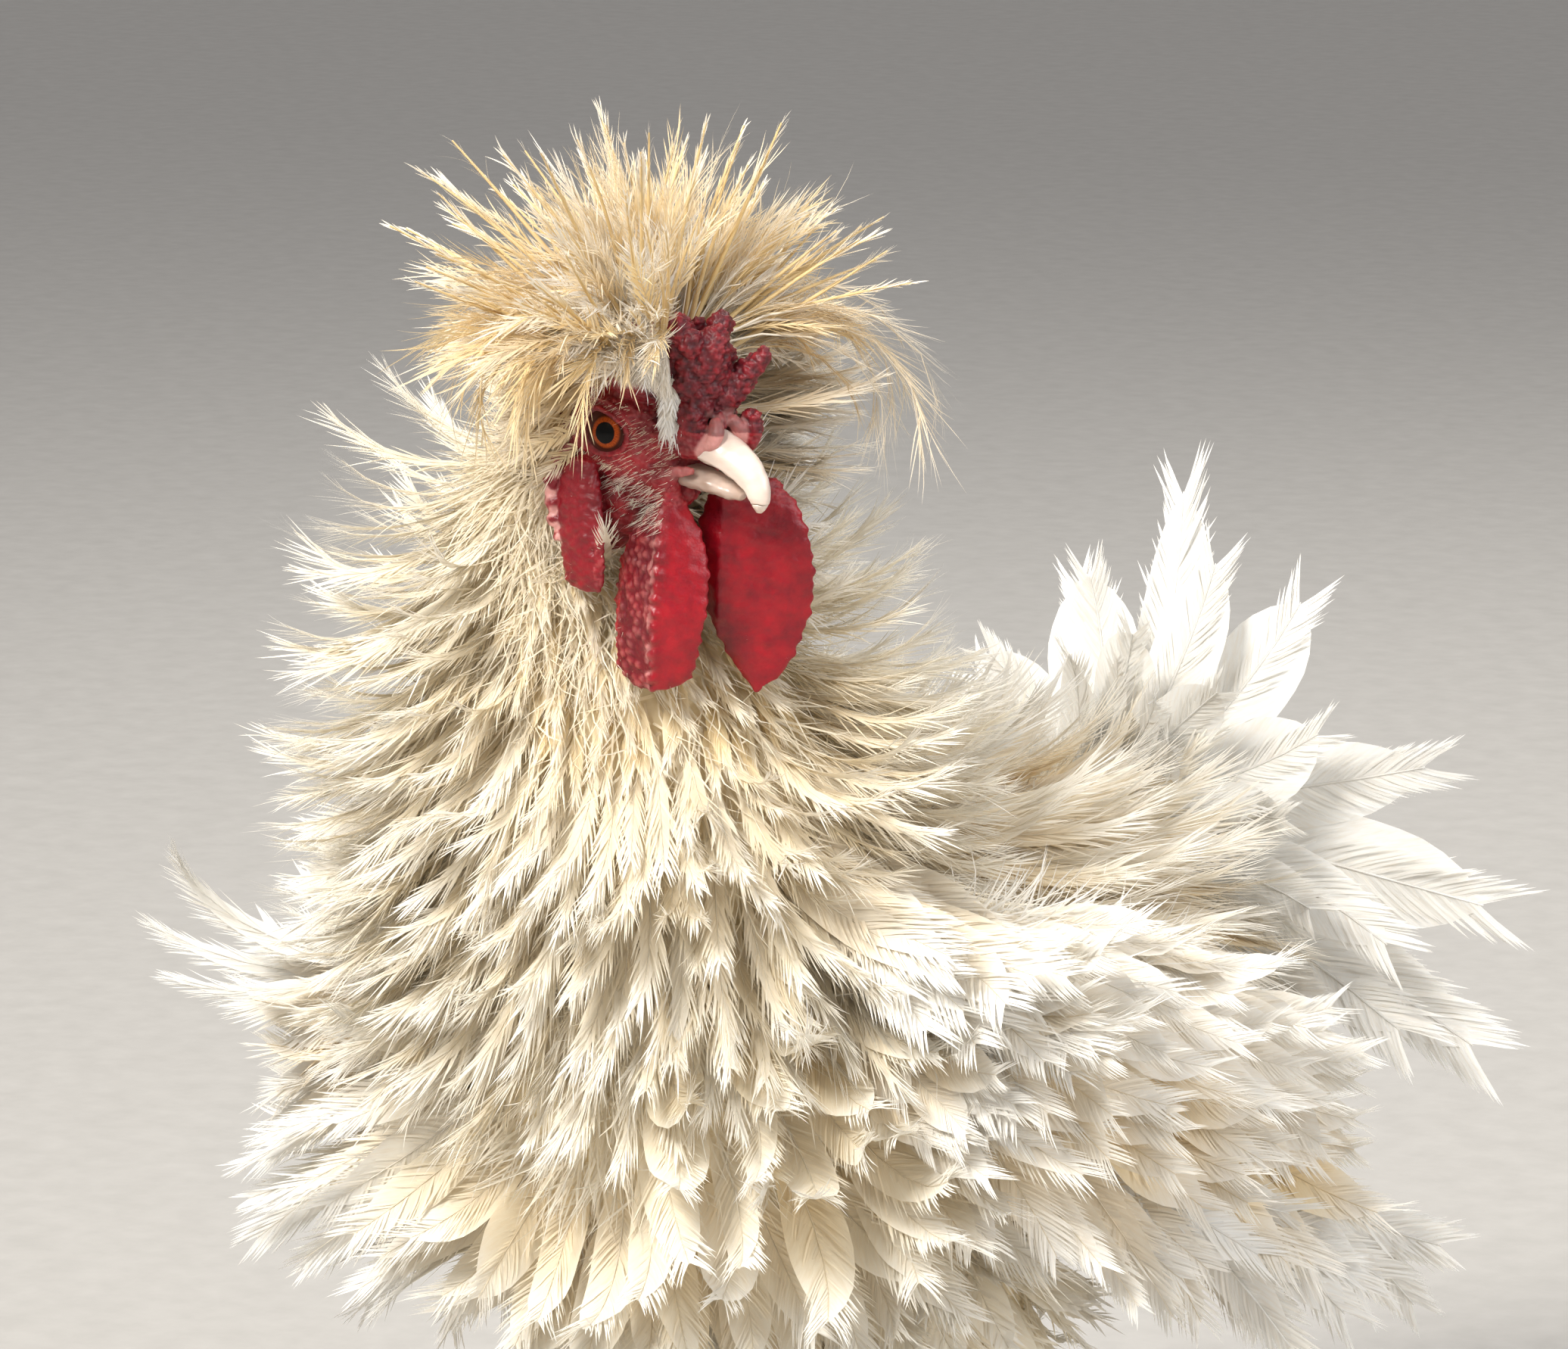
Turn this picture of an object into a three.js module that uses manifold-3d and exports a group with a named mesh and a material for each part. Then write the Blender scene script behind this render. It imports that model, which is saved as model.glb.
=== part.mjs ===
// A crested frizzle rooster as a still, life-size model, standing with its head turned to its left.
// Sizes are in millimetres and angles in degrees. The bird faces -Y, its left is +X and +Z is up.
import * as THREE from "three";
import { mergeVertices } from "three/addons/utils/BufferGeometryUtils.js";
import Module from "manifold-3d";

const wasm = await Module();
wasm.setup();

// Driving sizes of the bird
const GAP = 0.35;
const EYE_HEIGHT = 420;
const BACK_HEIGHT = 304;
const BODY_HALF_WIDTH = 84;
const BREAST_Y = -98;
const TAIL_ROOT_Y = 176;
const HOCK_HEIGHT = 106;
const STANCE_HALF_WIDTH = 44;
const ANKLE = { y: 26, z: 15 };
const HEAD = { x: 24, y: -90, yaw: 84, pitch: 5, roll: 0 };

// Materials
const paint = (color, roughness) => new THREE.MeshStandardMaterial({ color, roughness, metalness: 0 });
const CREAM = paint(0xf1e3c3, 0.8);
const WHITE = paint(0xf6f3ea, 0.75);
const BUFF = paint(0xe3c585, 0.8);
const RED_SKIN = paint(0xb3182c, 0.45);
const HORN = paint(0xefe0d2, 0.35);
const LEG_SKIN = paint(0xd9c9b0, 0.55);
const EYE = paint(0x7a2c08, 0.1);

// Small helpers
const vec = (x, y, z) => new THREE.Vector3(x, y, z);
const rad = THREE.MathUtils.degToRad;
const { clamp, lerp, smoothstep } = THREE.MathUtils;
const times = (count, make) => Array.from({ length: count }, (_, i) => make(i, count > 1 ? i / (count - 1) : 0));

// A seeded source of random numbers between low and high.
function dice(seed) {
  let state = seed * 2654435761;
  return (low = 0, high = 1) => {
    state = (state + 0x6d2b79f5) | 0;
    let t = Math.imul(state ^ (state >>> 15), 1 | state);
    t = (t + Math.imul(t ^ (t >>> 7), 61 | t)) ^ t;
    return low + ((high - low) * ((t ^ (t >>> 14)) >>> 0)) / 4294967296;
  };
}

// A closed mesh from points and triangles, turned face out.
function closedSolid(points, triangles) {
  const volume = triangles.reduce(
    (sum, [a, b, c]) => sum + points[a].dot(vec(0, 0, 0).crossVectors(points[b], points[c])),
    0,
  );
  const faces = volume < 0 ? triangles.map(([a, b, c]) => [a, c, b]) : triangles;
  const geometry = new THREE.BufferGeometry().setFromPoints(points).setIndex(faces.flat());
  return solidOf(geometry);
}

// A closed geometry as a solid that can be joined and cut.
function solidOf(geometry) {
  const bare = geometry.clone();
  bare.deleteAttribute("normal");
  bare.deleteAttribute("uv");
  const merged = mergeVertices(bare, 1e-4);
  return new wasm.Manifold(
    new wasm.Mesh({
      numProp: 3,
      vertProperties: new Float32Array(merged.attributes.position.array),
      triVerts: new Uint32Array(merged.index.array),
    }),
  );
}

// A ball stretched to three half sizes, turned, and moved to its place.
function ball(centre, size, turn = [0, 0, 0], detail = 10, grow = 0) {
  const geometry = new THREE.SphereGeometry(1, detail, Math.max(6, Math.round(detail * 0.7)));
  geometry.scale(...size.map((half) => half + grow));
  geometry.rotateX(rad(turn[0])).rotateY(rad(turn[1])).rotateZ(rad(turn[2]));
  return solidOf(geometry.translate(...centre));
}

// A limb is a row of [x, y, z, half width, half depth] along a smooth path. It gives the section at any
// share of its length. The half width lies across the hint direction, the half depth along it.
function limb(rows, hint) {
  const path = new THREE.CatmullRomCurve3(rows.map(([x, y, z]) => vec(x, y, z)), false, "catmullrom", 0.5);
  const half = (column, t) => {
    const place = clamp(t, 0, 1) * (rows.length - 1);
    const i = Math.min(Math.floor(place), rows.length - 2);
    return lerp(rows[i][column], rows[i + 1][column], place - i);
  };
  return (t) => {
    const ahead = path.getTangent(clamp(t, 0, 1));
    const across = vec(0, 0, 0).crossVectors(ahead, hint).normalize();
    const deep = vec(0, 0, 0).crossVectors(across, ahead).normalize();
    return { centre: path.getPoint(clamp(t, 0, 1)), across, deep, wide: half(3, t), tall: half(4, t) };
  };
}

// The point of a limb's surface at a share of its length and an angle round it, moved out by grow.
function limbPoint(body, t, angle, grow = 0) {
  const { centre, across, deep, wide, tall } = body(t);
  return centre
    .addScaledVector(across, (wide + grow) * Math.cos(angle))
    .addScaledVector(deep, (tall + grow) * Math.sin(angle));
}

function limbNormal(body, t, angle) {
  const step = 0.01;
  const along = limbPoint(body, t + step, angle).sub(limbPoint(body, t - step, angle));
  const round = limbPoint(body, t, angle + step).sub(limbPoint(body, t, angle - step));
  const normal = vec(0, 0, 0).crossVectors(along, round).normalize();
  return normal.dot(limbPoint(body, t, angle).sub(body(t).centre)) < 0 ? normal.negate() : normal;
}

// The solid of a limb, with rings of so many sides, closed by a fan at each end. A bump raises its surface.
function loft(body, rings, sides, grow = 0, bump = () => 0) {
  const points = [];
  const triangles = [];
  times(rings, (i, t) => {
    times(sides, (j) => {
      const angle = (2 * Math.PI * j) / sides;
      points.push(limbPoint(body, t, angle, grow + bump(i, angle)));
    });
  });
  const at = (i, j) => i * sides + (j % sides);
  for (let i = 0; i < rings - 1; i++) {
    for (let j = 0; j < sides; j++) {
      triangles.push([at(i, j), at(i, j + 1), at(i + 1, j + 1)], [at(i, j), at(i + 1, j + 1), at(i + 1, j)]);
    }
  }
  for (const [end, t, out] of [[0, 0, -1], [rings - 1, 1, 1]]) {
    const { centre, wide, tall, across, deep } = body(t);
    const ahead = vec(0, 0, 0).crossVectors(across, deep);
    if (ahead.dot(body(0.52).centre.sub(body(0.48).centre)) < 0) ahead.negate();
    points.push(centre.addScaledVector(ahead, out * (grow + 0.35 * Math.min(wide, tall))));
    const hub = points.length - 1;
    for (let j = 0; j < sides; j++) {
      triangles.push(end ? [at(end, j), at(end, j + 1), hub] : [at(end, j + 1), at(end, j), hub]);
    }
  }
  return closedSolid(points, triangles);
}

// One feather vane: a flat tapered blade with a low ridge along its middle on both faces. It leaves its
// root along the lie, raised by lift, and bends by curl towards the outside and by sweep to one side.
function vane(spec, grow = 0) {
  const { root, lie, out, length, width, lift, curl, sweep = 0, tip = 0, thick = 1.5, sink = 9, steps = 3 } = spec;
  const flow = lie.clone().addScaledVector(out, -lie.dot(out)).normalize();
  const ahead = flow.clone().multiplyScalar(Math.cos(rad(lift))).addScaledVector(out, Math.sin(rad(lift)));
  const face = out.clone().multiplyScalar(Math.cos(rad(lift))).addScaledVector(flow, -Math.sin(rad(lift)));
  const side = vec(0, 0, 0).crossVectors(ahead, face).normalize();
  const whole = length + sink;
  const parts = 12;
  const centres = [root.clone().addScaledVector(ahead, -sink - grow)];
  const frames = [];
  for (let i = 0; i <= parts; i++) {
    const s = i / parts;
    const bent = rad(curl) * s ** 1.4;
    const swept = rad(sweep) * s;
    const heading = ahead.clone().multiplyScalar(Math.cos(bent)).addScaledVector(face, Math.sin(bent));
    const normal = face.clone().multiplyScalar(Math.cos(bent)).addScaledVector(ahead, -Math.sin(bent));
    const turned = heading.clone().multiplyScalar(Math.cos(swept)).addScaledVector(side, Math.sin(swept));
    frames.push({ normal, edge: vec(0, 0, 0).crossVectors(turned, normal).normalize(), turned });
    if (i < parts) centres.push(centres[i].clone().addScaledVector(turned, (whole + 2 * grow) / parts));
  }
  const shape = (s) => (s < 0.45 ? lerp(0.34, 1, s / 0.45) : lerp(1, tip, ((s - 0.45) / 0.55) ** 1.8));
  const points = [];
  const rings = tip > 0 ? steps + 1 : steps;
  for (let i = 0; i < rings; i++) {
    const s = i / steps;
    const place = Math.min(parts, Math.round(s * parts));
    const { normal, edge } = frames[place];
    const half = (width / 2) * shape(s) + grow;
    const high = (thick / 2) * lerp(1, 0.55, s) + grow;
    const centre = centres[place];
    points.push(centre.clone().addScaledVector(edge, half), centre.clone().addScaledVector(normal, high));
    points.push(centre.clone().addScaledVector(edge, -half), centre.clone().addScaledVector(normal, -high));
  }
  const triangles = [[0, 1, 2], [0, 2, 3]];
  for (let i = 0; i < rings - 1; i++) {
    const [a, b] = [4 * i, 4 * i + 4];
    // Both faces are split from the ridge to the next station's edge, so that they stay apart.
    triangles.push([a, b, a + 1], [b, b + 1, a + 1], [a + 2, a + 1, b + 2], [b + 2, a + 1, b + 1]);
    triangles.push([a, a + 3, b], [b, a + 3, b + 3], [a + 2, b + 2, a + 3], [b + 2, b + 3, a + 3]);
  }
  const last = 4 * (rings - 1);
  if (tip > 0) {
    triangles.push([last, last + 2, last + 1], [last, last + 3, last + 2]);
  } else {
    points.push(centres[parts]);
    for (let j = 0; j < 4; j++) triangles.push([last + j, points.length - 1, last + ((j + 1) % 4)]);
  }
  return closedSolid(points, triangles);
}

// Roots spread evenly over a limb's surface: random throws that keep their distance, and that style
// turns into vanes. style returns nothing where no feather grows.
function coat(body, style, { seed, throws = 2600, from = 0.02, to = 0.98 }) {
  const roll = dice(seed);
  const taken = [];
  for (let i = 0; i < throws; i++) {
    const [t, angle] = [roll(from, to), roll(0, 2 * Math.PI)];
    const root = limbPoint(body, t, angle);
    const out = limbNormal(body, t, angle);
    const spec = style({ root, out, t, angle, roll });
    if (!spec) continue;
    const clear = taken.every((other) => other.root.distanceTo(root) > (other.spacing + spec.spacing) / 2);
    if (clear) taken.push({ root, out, ...spec });
  }
  return taken;
}

// Joining and cutting
const biggest = (solid) => solid.decompose().sort((a, b) => b.volume() - a.volume())[0];
const join = (solids) => wasm.Manifold.union(solids);

// A node in the making: its solid, and the same solid made larger by the gap, to cut its neighbours with.
function build(cores, vanes = []) {
  return {
    solid: join([...cores.map((core) => core(0)), ...vanes.map((spec) => vane(spec))]),
    room: join([...cores.map((core) => core(GAP)), ...vanes.map((spec) => vane(spec, GAP))]),
  };
}

function clearOf(part, ...others) {
  const solid = others.reduce((left, other) => left.subtract(other), part.solid);
  return { solid: biggest(solid).simplify(0.02), room: part.room };
}

// Head frame: the midpoint between the eyes, facing -Y before the head is turned.
const headFrame = new THREE.Group();
headFrame.position.set(HEAD.x, HEAD.y, EYE_HEIGHT);
headFrame.rotation.set(rad(HEAD.pitch), rad(HEAD.roll), rad(HEAD.yaw), "ZYX");
headFrame.updateMatrixWorld(true);
const inBody = (solid) => solid.transform(headFrame.matrixWorld.elements);
const inHead = (solid) => solid.transform(headFrame.matrixWorld.clone().invert().elements);

// Torso, with the breast, back and saddle feathers
const UP = vec(0, 0, 1);
const bodyMiddle = BACK_HEIGHT - 73;
const torsoLimb = limb(
  [
    [0, BREAST_Y, bodyMiddle + 9, 13, 16],
    [0, -87, bodyMiddle + 9, 36, 42],
    [0, -60, bodyMiddle + 8, 0.8 * BODY_HALF_WIDTH, 63],
    [0, -22, bodyMiddle + 4, 0.97 * BODY_HALF_WIDTH, 72],
    [0, 22, bodyMiddle, BODY_HALF_WIDTH, 73],
    [0, 66, bodyMiddle, 0.92 * BODY_HALF_WIDTH, 66],
    [0, 106, bodyMiddle + 3, 0.75 * BODY_HALF_WIDTH, 53],
    [0, 140, bodyMiddle + 11, 0.52 * BODY_HALF_WIDTH, 38],
    [0, 165, bodyMiddle + 19, 23, 24],
    [0, TAIL_ROOT_Y, bodyMiddle + 22, 11, 12],
  ],
  UP,
);
const torsoCore = (grow) => loft(torsoLimb, 12, 14, grow);

// Breast feathers part along a line on the bird's left and turn their tips out and up.
const PARTING_X = 26;
// On its right, low down, they are longer and sweep out to the side.
function breastStyle({ root, roll }) {
  const spread = clamp((root.x - PARTING_X) / 45, -1, 1);
  const sweeping = root.x < -PARTING_X && root.z < bodyMiddle + 12;
  return {
    lie: vec((sweeping ? 1.5 : 0.9) * spread, sweeping ? -0.35 : 0.25, -1),
    length: sweeping ? roll(70, 84) : roll(46, 58),
    width: roll(25, 30),
    lift: sweeping ? roll(26, 36) : roll(18, 30),
    curl: sweeping ? roll(10, 30) : roll(65, 95),
    sweep: roll(-12, 12),
    tip: 0.42,
    steps: 4,
    spacing: 26.5,
  };
}

function saddleStyle({ root, roll }) {
  const side = clamp(root.x / 34, -1, 1);
  return {
    lie: vec(0.85 * side, 1, -0.45 * Math.abs(side)),
    length: roll(56, 70),
    width: roll(20, 25),
    lift: roll(12, 20),
    curl: roll(25, 60),
    sweep: roll(-6, 6),
    spacing: 26,
  };
}

function fluffStyle({ root, roll }) {
  return {
    lie: vec(Math.sign(root.x) * 0.45, 0.75, -1),
    length: roll(40, 50),
    width: roll(18, 23),
    lift: roll(16, 26),
    curl: roll(30, 60),
    sweep: roll(-15, 15),
    spacing: 36,
  };
}

function torsoStyle(place) {
  const { root, out } = place;
  const underNeck = root.z > 258 + 0.2 * (root.y + 90) && root.y < 12;
  const underWing = root.y > -30 && root.y < 122 && out.z < 0.72 && root.z > 190 - 0.2 * (root.y + 40);
  const underThigh = root.y > -25 && root.y < 70 && root.z < 205 && Math.abs(root.x) > 14;
  const underTail = root.y > 158;
  if (underNeck || underWing || underThigh || underTail) return null;
  if (root.y < -28) return breastStyle(place);
  return out.z > 0 ? saddleStyle(place) : fluffStyle(place);
}
const torsoVanes = coat(torsoLimb, torsoStyle, { seed: 11 });

// Neck, with the hackle that stands out all round
const neckLimb = limb(
  [
    [0, -40, bodyMiddle + 34, 62, 50],
    [0, -50, bodyMiddle + 69, 60, 53],
    [-6, -60, bodyMiddle + 105, 51, 47],
    [-13, -69, bodyMiddle + 137, 36, 37],
    [-13, -77, bodyMiddle + 161, 24, 25],
    [3, -85, bodyMiddle + 180, 12, 12],
  ],
  vec(0, -1, 0),
);
const neckCore = (grow) => loft(neckLimb, 8, 11, grow);

function hackleStyle({ root, out, t, roll }) {
  const low = 1 - smoothstep(t, 0.1, 0.85);
  const front = clamp(0.75 * out.x - 0.65 * out.y, 0, 1);
  const underWattles = out.x > 0.1 && root.z > bodyMiddle + 100 && front > 0.6;
  if (out.z < -0.85 || underWattles) return null;
  return {
    lie: vec(0.3 * out.x, 0.25 * out.y, -1),
    length: lerp(56, 66, low) * (1 - 0.25 * front) * roll(0.9, 1.1),
    width: roll(17, 21),
    lift: lerp(56, 36, low) + roll(-5, 6),
    curl: lerp(46, 46, low) + roll(-8, 10),
    sweep: roll(-8, 8),
    spacing: lerp(17, 22, low),
  };
}
const hackleVanes = coat(neckLimb, hackleStyle, { seed: 23, from: 0.05, to: 0.74 });

// Wings: a plate folded against the side, and tiers of feathers from the flight feathers up
// The right wing is held further out, forward and down, with its feathers standing off more.
const SPLAY = {
  left: { out: 0, ahead: 0, drop: 0, across: 1, back: 1, lift: 0, reach: 1 },
  right: { out: 5, ahead: 22, drop: 10, across: 3.6, back: 0.15, lift: 24, reach: 1.15 },
};
const wingLimb = (side) => {
  const { out, ahead, drop } = side > 0 ? SPLAY.left : SPLAY.right;
  const rows = [
    [80 - 1.5 * out, -42, 264, 15, 13],
    [88, -20, 253, 31, 18],
    [92 + out, 14, 239, 37, 21],
    [93 + out, 54, 222, 36, 21],
    [92 + out, 92, 206, 29, 17],
    [89 + out, 122, 194, 15, 12],
  ];
  return limb(rows.map(([x, y, z, wide, tall]) => [side * x, y - ahead, z - drop, wide, tall]), vec(1, 0, 0));
};

const WING_TIERS = [
  { count: 7, row: [0.95, 0.6], turn: -52, lie: [0.3, 0.8, -0.62], length: 92, width: 18, lift: 5, curl: 26, tip: 0.4 },
  { count: 7, row: [0.74, 0.14], turn: -62, lie: [0.25, 0.7, -0.8], length: 72, width: 22, lift: 9, curl: 30, tip: 0.5 },
  { count: 6, row: [0.86, 0.12], turn: -16, lie: [0.2, 0.8, -0.7], length: 50, width: 22, lift: 14, curl: 40, tip: 0.45 },
  { count: 6, row: [0.76, 0.06], turn: 28, lie: [0.2, 0.75, -0.7], length: 46, width: 21, lift: 16, curl: 44, tip: 0.4 },
];

// Three long plumes at the right wing's shoulder curve outwards.
const PLUMES = [
  { t: 0.2, rise: 0.35, length: 74, curl: 34 },
  { t: 0.28, rise: 0, length: 80, curl: 30 },
  { t: 0.36, rise: -0.3, length: 74, curl: 26 },
];

function plumeVanes() {
  const body = wingLimb(-1);
  return PLUMES.map(({ t, rise, length, curl }) => ({
    root: limbPoint(body, t, outerAngle(body, t, -1)),
    out: vec(-0.1, -0.6, 0.8),
    lie: vec(-1, -0.32, 0),
    length,
    width: 13,
    lift: 34 * rise + 4,
    curl,
    sink: 12,
    steps: 5,
  }));
}

// The angle round a wing plate where its surface faces most to the outside
function outerAngle(body, t, side) {
  const around = [0, 0.5, 1, 1.5].map((q) => q * Math.PI);
  const reach = (angle) => limbNormal(body, t, angle).x * side;
  return around.reduce((best, angle) => (reach(angle) > reach(best) ? angle : best));
}

function wingVanes(side, seed) {
  const roll = dice(seed);
  const body = wingLimb(side);
  const splay = side > 0 ? SPLAY.left : SPLAY.right;
  return WING_TIERS.flatMap(({ count, row, turn, lie, length, width, lift, curl, tip }) =>
    times(count, (i, share) => {
      const t = lerp(row[0], row[1], share);
      const facing = outerAngle(body, t, side);
      const above = limbNormal(body, t, facing + 0.5).z > limbNormal(body, t, facing - 0.5).z ? 1 : -1;
      const angle = facing + above * rad(turn + roll(-4, 4));
      return {
        root: limbPoint(body, t, angle),
        out: limbNormal(body, t, angle).add(vec(side * 0.8, 0, 0)).normalize(),
        lie: vec(lie[0] * side * splay.across, lie[1] * splay.back, lie[2] + roll(-0.08, 0.08)),
        length: length * splay.reach * roll(0.92, 1.08),
        width: width * roll(0.92, 1.05),
        lift: lift + splay.lift * (1 - share) + roll(0, 5),
        curl: curl + roll(-10, 14),
        sweep: roll(-8, 8),
        tip,
      };
    }),
  );
}

// Tail: a fan of broad feathers, with narrower curved coverts in front of it on both sides
const tailLimb = limb(
  [
    [0, 146, bodyMiddle + 14, 30, 28],
    [0, 166, bodyMiddle + 24, 29, 27],
    [0, 186, bodyMiddle + 33, 24, 22],
    [0, 200, bodyMiddle + 39, 12, 11],
  ],
  UP,
);

// Tiers of the fan: main feathers, then shorter coverts that curl more
const TAIL_TIERS = [
  { count: 9, spread: 104, length: 98, width: 29, back: 20, curl: 14, tip: 0.5 },
  { count: 8, spread: 112, length: 80, width: 21, back: 6, curl: 36, tip: 0.45 },
  { count: 7, spread: 118, length: 62, width: 15, back: -8, curl: 56, tip: 0 },
];

function tailVanes(seed) {
  const roll = dice(seed);
  const hub = vec(0, 166, bodyMiddle + 28);
  return TAIL_TIERS.flatMap(({ count, spread, length, width, back, curl, tip }) =>
    times(count, (i, share) => {
      const around = rad(lerp(-spread, spread, share) + roll(-4, 4));
      const fall = Math.abs(around) / (Math.PI / 2);
      const dip = 1 - 0.2 * Math.sin(2 * Math.min(Math.abs(around), Math.PI / 2));
      const out = vec(Math.sin(around), 0, Math.cos(around));
      const root = hub.clone().add(vec(13 * out.x, back, 13 * out.z));
      return {
        root,
        out: vec(out.x, -0.45, out.z).normalize(),
        lie: vec(0.95 * out.x, 0.8, 0.85 - 1.4 * fall),
        length: (length + 16 * fall) * dip * roll(0.9, 1.08),
        width: width * roll(0.9, 1.08),
        lift: roll(2, 8),
        curl: curl * roll(0.7, 1.3),
        sweep: roll(-10, 10),
        tip,
        sink: 14,
        steps: 4,
      };
    }),
  );
}

// Thighs, shanks, toes and claws
const thighLimb = (side) =>
  limb(
    [
      [side * 40, 6, bodyMiddle - 36, 24, 30],
      [side * 50, 16, bodyMiddle - 62, 27, 34],
      [side * 51, 27, bodyMiddle - 86, 22, 27],
      [side * 48, 38, HOCK_HEIGHT + 18, 14, 15],
      [side * STANCE_HALF_WIDTH, 42, HOCK_HEIGHT + 4, 9.5, 10],
    ],
    vec(0, 1, 0),
  );

function thighStyle({ root, roll }) {
  const low = smoothstep(bodyMiddle - root.z, 50, 115);
  return {
    lie: vec(0, 0.25, -1),
    length: lerp(38, 27, low) * roll(0.9, 1.1),
    width: lerp(17, 11, low),
    lift: roll(14, 24),
    curl: roll(34, 62),
    sweep: roll(-14, 14),
    spacing: lerp(24, 16, low),
  };
}

const shankLimb = (side) =>
  limb(
    [
      [side * STANCE_HALF_WIDTH, 44, HOCK_HEIGHT + 4, 7.5, 8.5],
      [side * STANCE_HALF_WIDTH, 43, HOCK_HEIGHT - 8, 7.6, 8.6],
      [side * STANCE_HALF_WIDTH, 40, HOCK_HEIGHT - 28, 5.4, 6.4],
      [side * STANCE_HALF_WIDTH, 33, 46, 5.2, 6.2],
      [side * STANCE_HALF_WIDTH, 28, 24, 6.4, 6.8],
      [side * STANCE_HALF_WIDTH, ANKLE.y, ANKLE.z, 7, 7],
    ],
    vec(0, 1, 0),
  );

// Broad scutes down the front of the shank: every second ring steps out, and the next falls back.
const SCUTES = 9;
const scuteStep = (i, angle) => (i % 2 ? 0.75 : 0) * clamp(-Math.sin(angle) + 0.35, 0, 1);
const shankSolid = (side, grow) => loft(shankLimb(side), 2 * SCUTES, 7, grow, scuteStep);

// Each toe is [turn from straight ahead, length, thickness, claw length].
const TOES = [
  [-4, 60, 6.0, 13],
  [32, 46, 5.4, 11],
  [-38, 44, 5.4, 11],
  [168, 21, 4.6, 10],
];
// How far the pads of a toe are pressed flat by the floor
const SOLE_DEPTH = 0.7;

function toeLimb(side, [turn, length, thick]) {
  const ahead = vec(Math.sin(rad(turn)) * side, -Math.cos(rad(turn)), 0);
  const start = vec(side * STANCE_HALF_WIDTH, ANKLE.y, 9);
  const rows = [
    [0, 3, thick + 0.6],
    [0.2, 1.2, thick + 0.1],
    [0.4, -SOLE_DEPTH, thick - 0.3],
    [0.75, -SOLE_DEPTH, thick - 0.5],
    [1, -SOLE_DEPTH, thick - 1.6],
  ].map(([share, clearance, half]) => {
    const at = start.clone().addScaledVector(ahead, length * share);
    return [at.x, at.y, half + clearance, half, half];
  });
  return limb(rows, UP);
}

function clawLimb(side, [turn, length, thick, claw]) {
  const ahead = vec(Math.sin(rad(turn)) * side, -Math.cos(rad(turn)), 0);
  const start = vec(side * STANCE_HALF_WIDTH, ANKLE.y, 0).addScaledVector(ahead, length + 1);
  const rows = [
    [0, 4.4, thick - 2.1],
    [0.5, 4.6, thick * 0.45],
    [1, 1.9, 0.5],
  ].map(([share, height, half]) => {
    const at = start.clone().addScaledVector(ahead, claw * share);
    return [at.x, at.y, height, half * 0.8, half];
  });
  return limb(rows, UP);
}

// The floor cuts the soles to small flats at one level.
const underFloor = (level) =>
  solidOf(new THREE.BoxGeometry(400, 400, 40).translate(0, 0, level - 20));

// Head and face, in the head's own frame
const skullLimb = limb(
  [
    [0, 27, 0, 5, 6],
    [0, 20, 1, 11, 13],
    [0, 8, 0, 15.5, 18],
    [0, -4, -1, 14.8, 17.5],
    [0, -13, -3, 11.5, 13.5],
    [0, -21, -4, 8, 9],
  ],
  UP,
);
const skull = (grow) => loft(skullLimb, 7, 11, grow);
const jaw = (grow) => ball([0, -7, -13], [9.5, 16, 8], [8, 0, 0], 7, grow);
const EYE_BALL = { x: 8.6, y: -1, z: 0, radius: 8 };

function eyeBall(side, grow = 0) {
  return ball([side * EYE_BALL.x, EYE_BALL.y, EYE_BALL.z], times(3, () => EYE_BALL.radius), [0, 0, 0], 10, grow);
}

function lid(side) {
  return (grow) => {
    const ring = new THREE.TorusGeometry(5.9, 1.5 + grow, 4, 12).scale(1, 0.86, 1).rotateY(Math.PI / 2);
    return solidOf(ring.translate(side * 14.2, EYE_BALL.y, EYE_BALL.z));
  };
}

// The open cup of the ear, behind and below the eye
function earCup(side) {
  return ball([side * 15.5, 13, -8], [3, 2.4, 2.8], [0, 0, 0], 6);
}

const upperBeakLimb = limb(
  [
    [0, -16, -1, 8, 6.6],
    [0, -24, -1.8, 6.8, 6],
    [0, -32, -4.2, 5.2, 5],
    [0, -38, -8, 3.9, 4.1],
    [0, -41.6, -12.4, 2.5, 2.6],
    [0, -42.6, -16, 1, 1],
  ],
  UP,
);
const lowerBeakLimb = limb(
  [
    [0, -14, -11.4, 7, 3.2],
    [0, -22, -11.6, 6, 2.9],
    [0, -30, -12.4, 4.2, 2.3],
    [0, -37, -13.6, 1.6, 1.1],
  ],
  UP,
);
const nostrilLobe = (side) => (grow) => ball([side * 4.8, -27.5, 0.4], [2.5, 4.6, 2.9], [12, 0, side * 12], 6, grow);
const nostrilSlit = (side) => ball([side * 7.3, -28.5, -1.3], [1.5, 3, 0.8], [18, 0, side * 10], 5);

// Comb: a rough low ridge of folds and bulbs from the nostrils up the forehead, with one side knob
function combBulbs() {
  const roll = dice(5);
  const ridge = times(7, (i, share) => {
    const x = (i % 2 ? 1 : -1) * lerp(2.2, 4.2, share) + roll(-0.6, 0.6);
    const size = [lerp(3.4, 5.4, share), lerp(3.6, 5.4, share), lerp(4.2, 7, share)];
    const at = [x, lerp(-25, -15, share), lerp(6, 28, share)];
    return (grow) => ball(at, size, [20 * share, 0, 30 * i], 6, grow);
  });
  const knob = limb([[2, -21, 10, 4.5, 4.5], [7, -22, 16, 3.4, 3.8], [12, -22, 22, 1.2, 1.4]], vec(0, 1, 0));
  const bed = (grow) => ball([0, -20, 12], [4.6, 7, 15], [24, 0, 0], 7, grow);
  return [bed, ...ridge, (grow) => loft(knob, 4, 7, grow)];
}

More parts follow.
